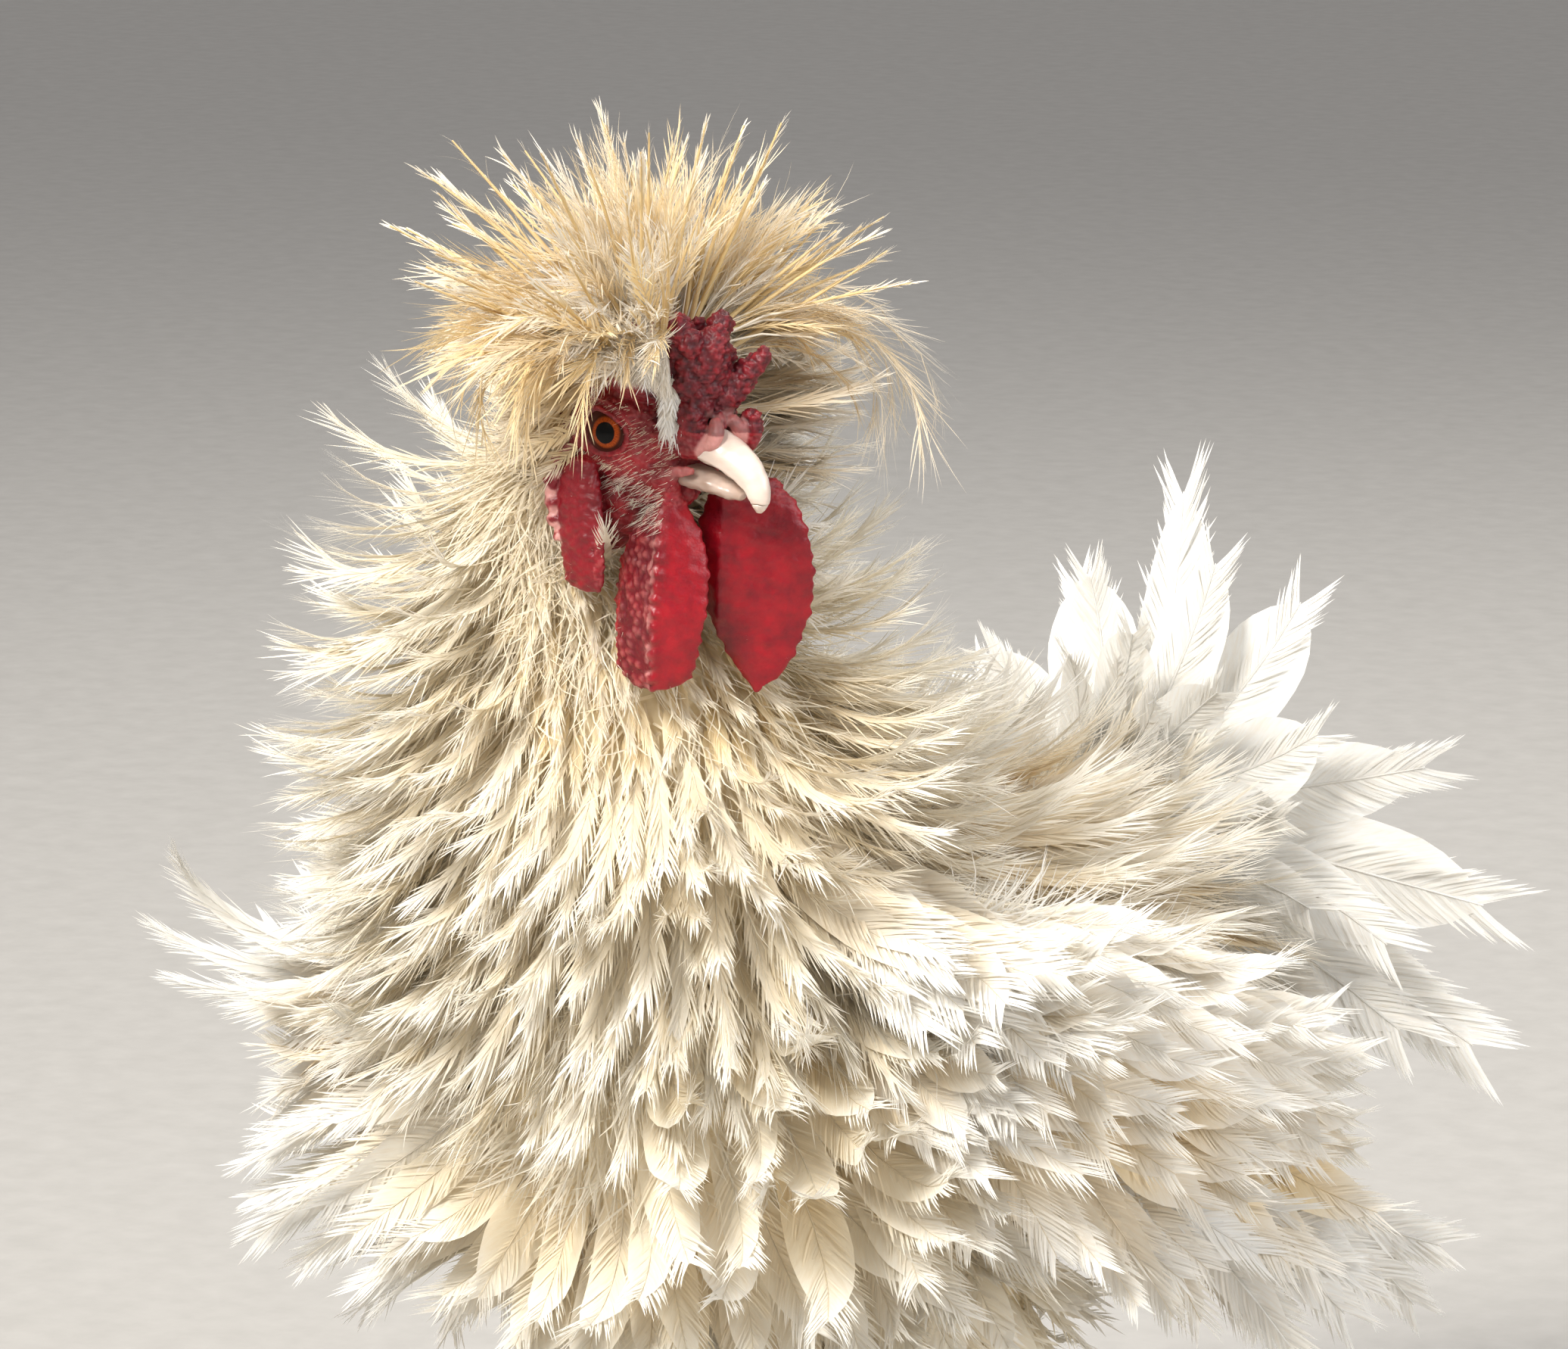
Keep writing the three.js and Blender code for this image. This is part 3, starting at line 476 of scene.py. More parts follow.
def red_skin_material():
    """Bare red skin: tone holds how pale, how dark and how smooth each place is; the dark is partly painted
    shade in creases.
    """
    sh = Shader("red_skin")
    parts = sh.parts("tone")
    place = sh.place()
    grains = sh.noise(1300.0, 2.0, 0.6, place)
    patches = sh.noise(140.0, 4.0, 0.6, place)
    veins = sh.noise(420.0, 3.0, 0.5, place)
    tone = sh.mix(sh.spread(patches, 0.35, 0.65), colour(118, 3, 20), colour(158, 7, 25))
    tone = sh.mix(sh.spread(veins, 0.52, 0.72, 0.0, 0.45), tone, colour(122, 8, 30))
    # The dark red carries the skin's own darker places and painted shade in the creases, between nodules and
    # round the eyes.
    tone = sh.mix(parts[1], tone, colour(70, 4, 18))
    tone = sh.mix(parts[0], tone, colour(226, 168, 160))
    rough = sh.math("ADD", sh.spread(parts[2], 0.0, 1.0, 0.5, 0.34), sh.spread(grains, 0.3, 0.7, -0.05, 0.1))
    relief = sh.bump(grains, 0.35, 0.0003, sh.bump(veins, 0.3, 0.0005))
    return sh.finish(sh.principled(
        tone, rough, Normal=relief, Specular_IOR_Level=0.45,
        Subsurface_Weight=0.22, Subsurface_Radius=(1.0, 0.3, 0.2), Subsurface_Scale=0.003))


def body_skin_material():
    """Pale bumpy skin under the coat."""
    sh = Shader("body_skin")
    place = sh.place()
    bumps = sh.cells(260.0, place)
    patches = sh.noise(35.0, 3.0, 0.5, place)
    tone = sh.mix(sh.spread(patches, 0.35, 0.65), colour(236, 218, 180), colour(244, 230, 198))
    return sh.finish(sh.principled(tone, 0.7, Normal=sh.bump(bumps, 0.4, 0.0006)))


def leg_skin_material():
    """Scaly legs: tone holds how pale the middle of each scale is."""
    sh = Shader("leg_skin")
    parts = sh.parts("tone")
    place = sh.place()
    scales = sh.cells(420.0, place)
    stains = sh.noise(90.0, 4.0, 0.6, place)
    tone = sh.mix(sh.spread(stains, 0.35, 0.7), colour(214, 192, 152), colour(184, 160, 124))
    tone = sh.mix(parts[0], tone, colour(232, 218, 188))
    tone = sh.mix(sh.spread(scales, 0.35, 0.75, 0.0, 0.35), tone, colour(128, 108, 84))
    return sh.finish(sh.principled(
        tone, 0.48, Normal=sh.bump(scales, -0.4, 0.0005),
        Subsurface_Weight=0.08, Subsurface_Radius=(1.0, 0.6, 0.4), Subsurface_Scale=0.002))


def horn_material(name, pale, dark, roughness):
    """Layered horn with fine growth lines: tone holds how dark each place is."""
    sh = Shader(name)
    parts = sh.parts("tone")
    place = sh.place()
    lines = sh.noise(90.0, 5.0, 0.65, sh.stretch(place, (1.0, 1.0, 4.0)))
    blotches = sh.noise(160.0, 3.0, 0.5, place)
    tone = sh.mix(sh.spread(lines, 0.4, 0.65, 0.0, 0.35), pale, sh.mix(0.35, pale, dark))
    tone = sh.mix(sh.spread(blotches, 0.55, 0.8, 0.0, 0.25), tone, dark)
    tone = sh.mix(parts[1], tone, dark)
    return sh.finish(sh.principled(
        tone, roughness, Normal=sh.bump(lines, 0.12, 0.0004),
        Coat_Weight=0.35, Coat_Roughness=0.2, Specular_IOR_Level=0.5,
        Subsurface_Weight=0.2, Subsurface_Radius=(1.0, 0.7, 0.5), Subsurface_Scale=0.002))


def eye_material():
    """Orange-brown iris with fine rays round a large black pupil, under a wet surface.

    tone holds how far from the middle of the pupil a point is, and its angle round it.
    """
    sh = Shader("eye")
    parts = sh.parts("tone")
    narrowed = sh.math("MULTIPLY", parts[0], 0.6)
    ray_place = sh.node("ShaderNodeCombineXYZ", {0: narrowed, 1: parts[1], 2: parts[2]}).outputs[0]
    rays = sh.noise(9.0, 4.0, 0.7, ray_place)
    iris = sh.mix(sh.spread(rays, 0.35, 0.65), colour(104, 34, 6), colour(190, 84, 18))
    iris = sh.mix(sh.spread(parts[0], 0.86, 1.02), iris, colour(60, 22, 8))
    iris = sh.mix(sh.spread(parts[0], 0.63, 0.67, 1.0, 0.0), iris, colour(2, 2, 2))
    tone = sh.mix(sh.spread(parts[0], 1.1, 1.16), iris, colour(70, 30, 24))
    return sh.finish(sh.principled(
        tone, 0.4, Coat_Weight=0.2, Coat_Roughness=0.02, Coat_IOR=1.35, Specular_IOR_Level=0.1))


cream_feather = feather_material("cream_feather", CREAM)
white_feather = feather_material("white_feather", WHITE)
buff_feather = feather_material("buff_feather", colour(232, 206, 154))
red_skin = red_skin_material()
body_skin = body_skin_material()
leg_skin = leg_skin_material()
beak_horn = horn_material("beak_horn", colour(226, 206, 192), colour(150, 118, 98), 0.3)
claw_horn = horn_material("claw_horn", colour(222, 206, 182), colour(120, 98, 78), 0.38)
eye_surface = eye_material()


# Feathers

BARB_STATIONS = np.array([0.0, 0.4, 0.75, 1.0])
FINEST_BARB = 0.16
WHITE_EDGE = 0.15
FEATHER_STEPS = 10
BLADE_STEPS = 3
BLADE_PATCH = 2 / 3
ROUGH_STEPS = 6
PATCH = 0.003


def spines(f, steps):
    """The midribs of many feathers: places, headings, faces and edges at even stations.

    A feather leaves its root along its lie, raised by lift, and bends by curl to the outside,
    by sweep to one side, and turns about its own length by twist.
    """
    root, out, lie, length, lift, curl, sweep, twist = (
        f[key] for key in ("root", "out", "lie", "length", "lift", "curl", "sweep", "twist"))
    flow = unit(lie - out * dot(lie, out)[:, None])
    side = np.cross(flow, out)
    s = np.linspace(0, 1, steps + 1)
    tilt = (np.radians(lift)[:, None] + np.radians(curl)[:, None] * s ** 1.4)[..., None]
    turn = (np.radians(sweep)[:, None] * s)[..., None]
    ahead = np.cos(tilt) * flow[:, None] + np.sin(tilt) * out[:, None]
    face = np.cos(tilt) * out[:, None] - np.sin(tilt) * flow[:, None]
    heading = np.cos(turn) * ahead + np.sin(turn) * side[:, None]
    steps_made = (heading[:, 1:] + heading[:, :-1]) / 2 * (length / steps)[:, None, None]
    path = np.concatenate([root[:, None], root[:, None] + np.cumsum(steps_made, 1)], 1)
    edge = unit(np.cross(heading, face))
    roll = (np.radians(twist)[:, None] * s)[..., None]
    turned_edge = np.cos(roll) * edge + np.sin(roll) * face
    turned_face = np.cos(roll) * face - np.sin(roll) * edge
    return path, heading, turned_face, turned_edge


def read_along(values, place):
    """Values at even stations of each feather, read at other places along it."""
    last = values.shape[1] - 1
    at = clamp(place) * last
    low = np.minimum(at.astype(int), last - 1)
    share = (at - low)[..., None]
    rows = np.arange(len(values))[:, None]
    return values[rows, low] * (1 - share) + values[rows, low + 1] * share


# By kind of vane: the share of its width at the root, how far along it is widest, and the share at the tip
SHAPES = {
    "lance": (0.45, 0.30, 0.22),
    "leaf": (0.40, 0.50, 0.42),
    "broad": (0.55, 0.60, 0.62),
    "brush": (0.30, 0.70, 0.55),
}


def vane_width(kind, s):
    start, widest, tip = SHAPES[kind]
    rising = start + (1 - start) * np.sin(clamp(s / widest) * math.pi / 2)
    falling = tip + (1 - tip) * np.cos(clamp((s - widest) / (1 - widest)) * math.pi / 2)
    return np.where(s < widest, rising, falling)


def ladder(rungs):
    """Triangles of a strip whose points come in pairs and end in one point."""
    cells = []
    for k in range(rungs - 1):
        a = 2 * k
        cells += [[a, a + 1, a + 3], [a, a + 3, a + 2]]
    cells.append([2 * rungs - 2, 2 * rungs - 1, 2 * rungs])
    return np.array(cells)


def repeated(cells, copies, size):
    """The same triangles for each of several copies of so many points."""
    return (cells[None] + (np.arange(copies) * size)[:, None, None]).reshape(-1, 3)


def patches(f, across, along):
    """Where points lie on the unwrap: a small patch for each feather, -1 to 1 across and 0 to 1 along."""
    home = f["uv"].reshape((-1,) + (1,) * (np.ndim(along) - 1) + (2,))
    return home + np.stack(np.broadcast_arrays(0.5 * PATCH * across, PATCH * (along - 0.5)), -1)


def as_part(points, triangles, plume, strand, patch):
    """What a coat gathers: points, triangles, and what each point carries."""
    rows = [array.reshape(-1, array.shape[-1]) for array in (points, plume, strand, patch)]
    return rows[0], triangles, rows[1], rows[2], rows[3]


def quill_strips(path, face, edge, radius, uv, plume):
    """A ridged strip along every midrib."""
    count, stations = path.shape[:2]
    taper = (radius[:, None] * lerp(1.0, 0.25, np.linspace(0, 1, stations)))[..., None]
    points = np.stack([path + edge * taper, path + face * taper * 1.2, path - edge * taper,
                       path - face * taper * 0.8], 2)
    ring = np.arange(4)
    after = (ring + 1) % 4
    cells = []
    for k in range(stations - 1):
        a, b, c, d = 4 * k + ring, 4 * k + after, 4 * k + 4 + after, 4 * k + 4 + ring
        cells.append(np.stack([a, b, c], -1))
        cells.append(np.stack([a, c, d], -1))
    triangles = repeated(np.vstack(cells), count, 4 * stations)
    strand = np.zeros((count, stations, 4, 3))
    strand[..., 0] = np.array([0.0, 0.4, 0.0, 0.4])
    strand[..., 1] = np.linspace(0, 40, stations)[None, :, None]
    strand[..., 2] = np.arange(count)[:, None, None] * 7.3
    tint = np.broadcast_to(plume[:, None, None, :], points.shape).copy()
    patch = np.zeros((count, stations, 4, 2))
    patch[..., 0] = np.array([0.0003, 0.0, -0.0003, 0.0])
    patch[..., 1] = (np.linspace(-0.0015, 0.0015, stations))[None, :, None]
    patch += uv[:, None, None, :]
    return as_part(points, triangles, tint, strand, patch)


def web_part(f, look, midrib, wave):
    """The closed middle of each vane, which the barbs fringe."""
    path, face, edge = midrib
    count = len(path)
    s = np.linspace(0.03, 0.99, look.get("web_rows", 10))
    u = np.array([-1.0, -0.55, 0.0, 0.55, 1.0])
    rows, columns = len(s), len(u)
    place = np.broadcast_to(s, (count, rows))
    closing = np.sqrt(1 - 0.97 * clamp((s - 0.72) / 0.27) ** 2)
    half = 0.5 * f["width"][:, None] * vane_width(look["shape"], s) * closing * look["web"]
    middle, up, side = (read_along(v, place) for v in (path, face, edge))
    ruffle = look.get("ruffle", 0.0) * np.sin(
        s[None, :, None] * look.get("waves", 16) + wave[..., None] * 3 + np.sign(u))
    across = half[..., None] * u
    raised = (look.get("cup", 0.0) + ruffle) * np.abs(across) - 0.2
    points = middle[:, :, None] + side[:, :, None] * across[..., None] + up[:, :, None] * raised[..., None]
    angle = np.radians(lerp(look["angle"][0], look["angle"][1], s ** 1.3))[None, :, None]
    along = np.broadcast_to(s[None, :, None], across.shape)
    white = f["white"][:, None, None] + look.get("white_tip", 0.3) * ramp(along, 0.55, 1.0)
    white = white + 0.5 * WHITE_EDGE * np.abs(u)
    buff = f["buff"][:, None, None] * (1 - look.get("buff_fade", 0.5) * along)
    plume = np.stack([clamp(white), clamp(buff), np.full(along.shape, 0.5)], -1)
    strand = np.zeros(points.shape)
    strand[..., 0] = along * f["length"][:, None, None] * np.sin(angle) - np.abs(across) * np.cos(angle)
    strand[..., 0] *= 0.5
    strand[..., 1] = np.abs(across) / np.sin(angle)
    strand[..., 2] = wave[..., None] * 9
    triangles = repeated(grid_faces(rows, columns, False), count, rows * columns)
    return as_part(points, triangles, plume, strand, patches(f, u, along))


def feather_part(f, look, dice):
    """Feathers made barb by barb. f holds an array for each property, look what they have in common."""
    count = len(f["root"])
    barbs = look["barbs"]
    tip_angle = math.radians(look["angle"][1])
    past_tip = 0.5 * f["width"] * SHAPES[look["shape"]][2] / math.tan(tip_angle)
    past_tip = np.minimum(past_tip, look.get("longest", 0.5) * f["length"] * 0.9)
    f = dict(f, length=f["length"] - 0.92 * past_tip)
    path, heading, face, edge = spines(f, FEATHER_STEPS)
    bare = look.get("bare", 0.08)
    base = bare + (0.985 - bare) * (np.arange(barbs) + 0.5) / barbs
    place = np.tile(base, 2)[None] + dice.uniform(-0.35, 0.35, (count, 2 * barbs)) / barbs
    sign = np.repeat([-1.0, 1.0], barbs)[None]
    origin = read_along(path, place)
    forward = unit(read_along(heading, place))
    up = unit(read_along(face, place))
    side = unit(read_along(edge, place)) * sign[..., None]

    # Clumps of barbs lean together, so that the vane splits here and there.
    wave = dice.uniform(0, 2 * math.pi, (count, 1))
    clumps = np.sin(place * look.get("clumps", 40) + wave + 2 * sign)
    fray = look.get("fray", 0.15)
    open_angle = lerp(look["angle"][0], look["angle"][1], clamp(place) ** 1.3)
    theta = np.radians(open_angle) * (1 + fray * clumps + fray * dice.normal(0, 0.5, place.shape))
    half = 0.5 * f["width"][:, None] * vane_width(look["shape"], clamp(place))
    reach = half / np.maximum(np.sin(theta), 0.16)
    reach = np.minimum(reach, look.get("longest", 0.5) * f["length"][:, None])
    reach *= 1 + dice.normal(0, 0.1 + 0.6 * fray, place.shape) * 0.6
    ruffle = look.get("ruffle", 0.0) * np.sin(place * look.get("waves", 16) + wave * 3 + sign)
    rise = look.get("cup", 0.0) + ruffle + dice.normal(0, 0.05 + 0.3 * fray, place.shape)
    start = np.cos(theta)[..., None] * forward + np.sin(theta)[..., None] * side
    start = unit(start + rise[..., None] * up)
    bend = look["bend"] * forward
    bend = bend + dice.normal(0, 0.10 + 0.4 * fray, place.shape + (1,)) * up

    q = BARB_STATIONS
    travel = q[None, None, :, None] * start[:, :, None] + (q ** 2)[None, None, :, None] * bend[:, :, None]
    middle = origin[:, :, None] + travel * reach[..., None, None]
    flat = unit(np.cross(up, start))
    spacing = f["length"][:, None] * (1 - bare) / barbs
    broad = spacing * np.maximum(np.sin(theta), 0.25) * 0.5 * look.get("overlap", 1.25)
    broad = np.maximum(broad, FINEST_BARB)
    taper = np.array([0.85, 1.0, look.get("blunt", 0.75)])
    offset = flat[:, :, None] * (broad[..., None] * taper)[..., None]
    pairs = np.stack([middle[:, :, :-1] + offset, middle[:, :, :-1] - offset], 3)
    tips = middle[:, :, -1:]
    rings = len(q) - 1
    points = np.concatenate([pairs.reshape(count, 2 * barbs, 2 * rings, 3), tips], 2)

    triangles = repeated(ladder(rings), count * 2 * barbs, 2 * rings + 1)

    # What each point carries for the material
    local_q = np.concatenate([np.repeat(q[:-1], 2), q[-1:]])
    ahead = clamp(place[..., None] + local_q * reach[..., None] * np.cos(theta)[..., None]
                  / f["length"][:, None, None])
    white = f["white"][:, None, None] + look.get("white_tip", 0.3) * ramp(ahead, 0.55, 1.0)
    white = white + WHITE_EDGE * local_q
    buff = f["buff"][:, None, None] * (1 - look.get("buff_fade", 0.5) * ahead)
    odd = dice.uniform(0, 1, place.shape)[..., None] * np.ones_like(ahead)
    plume = np.stack([clamp(white), clamp(buff), odd], -1)
    strand = np.zeros(points.shape)
    strand[..., 0] = np.concatenate([np.tile([0.0, 1.0], rings), [0.5]])
    strand[..., 0] *= broad[..., None] * 2
    strand[..., 1] = local_q * reach[..., None]
    strand[..., 2] = dice.uniform(0, 90, place.shape)[..., None]
    made = as_part(points, triangles, plume, strand, patches(f, sign[..., None] * local_q, ahead))
    tint = rows_of(clamp(f["white"] + look.get("white_quill", 0.2)), clamp(f["buff"] * 0.8), 0.6)
    radius = look.get("quill", 0.3) * (f["length"] / 60) ** 0.5
    step = look.get("quill_step", 2)
    ribs = quill_strips(path[:, ::step], face[:, ::step], edge[:, ::step], radius, f["uv"], tint)
    if "web" not in look:
        return [made, ribs]
    return [made, ribs, web_part(f, look, (path, face, edge), wave)]


def blade_part(f, look, dice):
    """Single soft strands: down, bristles and wisps."""
    count = len(f["root"])
    steps = BLADE_STEPS
    path, _, _, edge = spines(f, steps)
    taper = np.linspace(1.0, 0.45, steps)
    offset = edge[:, :-1] * (f["width"][:, None] * 0.5 * taper)[..., None]
    pairs = np.stack([path[:, :-1] + offset, path[:, :-1] - offset], 2).reshape(count, 2 * steps, 3)
    points = np.concatenate([pairs, path[:, -1:]], 1)
    triangles = repeated(ladder(steps), count, 2 * steps + 1)
    along = np.concatenate([np.repeat(np.linspace(0, 1, steps + 1)[:-1], 2), [1.0]])
    white = clamp(f["white"][:, None] + look.get("white_tip", 0.2) * along)
    buff = clamp(f["buff"][:, None] * (1 - look.get("buff_fade", 0.4) * along))
    plume = rows_of(white, buff, dice.uniform(0, 1, (count, 1)))
    strand = np.zeros(points.shape)
    strand[..., 0] = np.concatenate([np.tile([0.0, 1.0], steps), [0.5]]) * f["width"][:, None]
    strand[..., 1] = along * f["length"][:, None]
    strand[..., 2] = dice.uniform(0, 90, (count, 1))
    across = np.concatenate([np.tile([-1.0, 1.0], steps), [0.0]])
    return [as_part(points, triangles, plume, strand, patches(f, BLADE_PATCH * across, along[None]))]


def loose(dice, count, sweep, twist):
    """Random turns of feathers, to the side and about their own length, in degrees either way."""
    return {"sweep": dice.uniform(-sweep, sweep, count), "twist": dice.uniform(-twist, twist, count)}


def picked(f, mask):
    return {key: values[mask] for key, values in f.items()}


def full_spec(f, count):
    """Every property of the feathers as an array."""
    f = dict(f)
    for key, value in f.items():
        value = np.asarray(value, float)
        if key in ("root", "out", "lie"):
            f[key] = np.broadcast_to(value, (count, 3)).copy()
        elif key != "uv":
            f[key] = np.broadcast_to(value, (count,)).copy()
    return f


# How far the tips of feathers may reach, in the bird's own frame
LOWEST_TIP = np.array([-190.0, -167.0, 2.0])
HIGHEST_TIP = np.array([138.0, 278.0, 512.0])
SHORTEST_SHARE = 0.3


def kept_inside(f):
    """The same feathers, with those shortened whose tips would pass the limits."""
    way = spines(f, ROUGH_STEPS)[0][:, -1] - f["root"]
    room = np.where(way > 0, HIGHEST_TIP - f["root"], LOWEST_TIP - f["root"])
    share = (room / np.where(np.abs(way) < 0.01, 0.01 * np.sign(room), way)).min(1)
    return dict(f, length=f["length"] * clamp(share, SHORTEST_SHARE, 1.0))


class Coat:
    """Feathers gathered into meshes that stay under the triangle limit."""

    def __init__(self, name, material, slot_name, nodes):
        self.name = name
        self.material = material
        self.slot_name = slot_name
        self.nodes = nodes
        self.parts = []

    def grow(self, maker, f, look, dice):
        count = len(f["root"])
        f = kept_inside(full_spec(f, count))
        chunk = max(1, int(POINTS_AT_ONCE / (look.get("barbs", 1) * 10 + 48)))
        for start in range(0, count, chunk):
            mask = np.arange(start, min(count, start + chunk))
            self.parts += maker(picked(f, mask), look, dice)

    def build(self):
        group, size, number = [], 0, 0
        for part in self.parts + [None]:
            if part is None or size + len(part[1]) > MOST_TRIANGLES:
                number += 1
                self.one_mesh(group, number)
                group, size = [], 0
            if part is not None:
                group.append(part)
                size += len(part[1])

    def one_mesh(self, group, number):
        starts = np.cumsum([0] + [len(part[0]) for part in group])
        points = np.vstack([part[0] for part in group])
        triangles = np.vstack([part[1] + start for part, start in zip(group, starts)])
        mesh = new_mesh(self.name, points, triangles)
        add_attribute(mesh, "plume", "FLOAT_VECTOR", np.vstack([part[2] for part in group]))
        add_attribute(mesh, "strand", "FLOAT_VECTOR", np.vstack([part[3] for part in group]))
        patch = np.vstack([part[4] for part in group])
        layer = mesh.uv_layers.new(name="OFBake")
        layer.uv.foreach_set("vector", patch[triangles.ravel()].astype(np.float32).ravel())
        mesh.materials.append(self.material)
        add_piece(f"{self.name}_{number}", mesh, self.nodes)


# Where each body part's skin lies on the square of the unwrap: left, bottom, width and height
CHARTS = {
    "torso": (0.01, 0.51, 0.48, 0.48),
    "neck": (0.51, 0.51, 0.48, 0.30),
    "crest": (0.51, 0.83, 0.30, 0.16),
    "head": (0.83, 0.83, 0.16, 0.16),
    "wing_left": (0.01, 0.27, 0.30, 0.22),
    "wing_right": (0.33, 0.27, 0.30, 0.22),
    "tail": (0.65, 0.27, 0.34, 0.22),
    "thigh_left": (0.01, 0.01, 0.30, 0.24),
    "thigh_right": (0.33, 0.01, 0.30, 0.24),
}


def on_chart(chart, around, along):
    """Places on the unwrap, from an angle round a body part and a share along it."""
    left, bottom, width, height = CHARTS[chart]
    turn = np.mod(around / (2 * math.pi), 1.0)
    return rows_of(left + width * turn, bottom + height * clamp(along))


# The body, as limbs

UP = (0, 0, 1)
torso_limb = Limb(
    [
        [0, -98, BODY_MIDDLE + 9, 13, 16],
        [0, -87, BODY_MIDDLE + 9, 36, 42],
        [0, -60, BODY_MIDDLE + 8, 0.8 * BODY_HALF_WIDTH, 63],
        [0, -22, BODY_MIDDLE + 4, 0.97 * BODY_HALF_WIDTH, 72],
        [0, 22, BODY_MIDDLE, BODY_HALF_WIDTH, 73],
        [0, 66, BODY_MIDDLE, 0.92 * BODY_HALF_WIDTH, 66],
        [0, 106, BODY_MIDDLE + 3, 0.75 * BODY_HALF_WIDTH, 53],
        [0, 140, BODY_MIDDLE + 11, 0.52 * BODY_HALF_WIDTH, 38],
        [0, 165, BODY_MIDDLE + 19, 23, 24],
        [0, 176, BODY_MIDDLE + 22, 11, 12],
    ],
    UP,
)
neck_limb = Limb(
    [
        [0, -40, BODY_MIDDLE + 34, 62, 50],
        [0, -50, BODY_MIDDLE + 69, 60, 53],
        [-6, -60, BODY_MIDDLE + 105, 51, 47],
        [-13, -69, BODY_MIDDLE + 137, 36, 37],
        [-13, -77, BODY_MIDDLE + 161, 24, 25],
        [3, -85, BODY_MIDDLE + 180, 12, 12],
    ],
    (0, -1, 0),
)
tail_limb = Limb(
    [
        [0, 146, BODY_MIDDLE + 14, 30, 28],
        [0, 166, BODY_MIDDLE + 24, 29, 27],
        [0, 186, BODY_MIDDLE + 33, 24, 22],
        [0, 200, BODY_MIDDLE + 39, 12, 11],
    ],
    UP,
)

# How far each wing is held out, forward and down, and how far its feathers stand off
SPLAY = {
    1: {"out": 0, "ahead": 0, "drop": 0, "across": 1.0, "back": 1.0, "lift": 0, "reach": 1.0},
    -1: {"out": 5, "ahead": 22, "drop": 10, "across": 3.6, "back": 0.15, "lift": 24, "reach": 1.15},
}


def wing_limb(side):
    splay = SPLAY[side]
    rows = [
        [80 - 1.5 * splay["out"], -42, 264, 15, 13],
        [88, -20, 253, 31, 18],
        [92 + splay["out"], 14, 239, 37, 21],
        [93 + splay["out"], 54, 222, 36, 21],
        [92 + splay["out"], 92, 206, 29, 17],
        [89 + splay["out"], 122, 194, 15, 12],
    ]
    placed = [[side * x, y - splay["ahead"], z - splay["drop"], wide, tall] for x, y, z, wide, tall in rows]
    return Limb(placed, (1, 0, 0))


def thigh_limb(side):
    return Limb(
        [
            [side * 40, 6, BODY_MIDDLE - 36, 24, 30],
            [side * 50, 16, BODY_MIDDLE - 62, 27, 34],
            [side * 51, 27, BODY_MIDDLE - 86, 22, 27],
            [side * 48, 38, HOCK_HEIGHT + 18, 14, 15],
            [side * STANCE, 42, HOCK_HEIGHT + 4, 9.5, 10],
        ],
        (0, 1, 0),
    )


def shank_limb(side):
    return Limb(
        [
            [side * STANCE, 44, HOCK_HEIGHT + 8, 7.0, 8.0],
            [side * STANCE, 43, HOCK_HEIGHT - 8, 7.6, 8.6],
            [side * STANCE, 40, HOCK_HEIGHT - 28, 5.4, 6.4],
            [side * STANCE, 33, 46, 5.2, 6.2],
            [side * STANCE, 28, 24, 6.4, 6.8],
            [side * STANCE, ANKLE_Y, ANKLE_Z, 7, 7],
        ],
        (0, 1, 0),
    )


# Each toe is [turn from straight ahead, length, thickness, claw length].
TOES = [
    [-4, 60, 6.0, 13],
    [32, 46, 5.4, 11],
    [-38, 44, 5.4, 11],
    [168, 21, 4.6, 10],
]
SOLE_DEPTH = 0.7


def toe_way(side, turn):
    return np.array([math.sin(math.radians(turn)) * side, -math.cos(math.radians(turn)), 0.0])


def toe_limb(side, toe):
    turn, length, thick, _ = toe
    start = np.array([side * STANCE, ANKLE_Y, 0.0])
    rows = []
    for share, clear, half in (
        (0, 3, thick + 0.6), (0.2, 1.2, thick + 0.1), (0.4, -SOLE_DEPTH, thick - 0.3),
        (0.75, -SOLE_DEPTH, thick - 0.5), (1, -SOLE_DEPTH, thick - 1.6),
    ):
        at = start + toe_way(side, turn) * length * share
        rows.append([at[0], at[1], half + clear, half, half])
    return Limb(rows, UP)


def claw_limb(side, toe):
    turn, length, thick, claw = toe
    start = np.array([side * STANCE, ANKLE_Y, 0.0]) + toe_way(side, turn) * (length - 3)
    rows = []
    for share, height, half in (
        (0, 4.6, thick - 2.4), (0.3, 5.4, thick * 0.46), (0.6, 5.2, thick * 0.36),
        (0.85, 3.6, thick * 0.2), (1, 1.9, 0.3),
    ):
        at = start + toe_way(side, turn) * (claw + 3) * share
        rows.append([at[0], at[1], height, half * 0.8, half])
    return Limb(rows, UP)


# How fine the skins are: the head's, the legs' and the body's
HEAD_VOXEL, LEG_VOXEL, BODY_VOXEL = 0.5, 0.9, 3.0


# Head and face, in the head's own frame

skull_limb = Limb(
    [
        [0, 27, 0, 5, 6],
        [0, 20, 1, 11, 13],
        [0, 8, 0, 15.5, 18],
        [0, -4, -1, 14.2, 17],
        [0, -13, -3, 11.0, 13.0],
        [0, -21, -4, 7.6, 8.6],
    ],
    UP,
)
CREST_MIDDLE = np.array([0.0, -7.0, 19.0])
CREST_SIZE = np.array([18.0, 17.0, 14.0])


def side_limb(rows, side, hint):
    """A limb on one side of the head, from rows given for the left."""
    return Limb([[side * x, y, z, wide, tall] for x, y, z, wide, tall in rows], hint)


def nostril_flap(side):
    rows = [
        [5.0, -30.0, -0.4, 1.2, 1.6],
        [5.2, -32.6, 1.6, 1.9, 2.2],
        [4.4, -33.4, 4.6, 2.1, 2.4],
        [3.0, -31.6, 7.6, 1.7, 1.8],
    ]
    return side_limb(rows, side, (0, 1, 0))


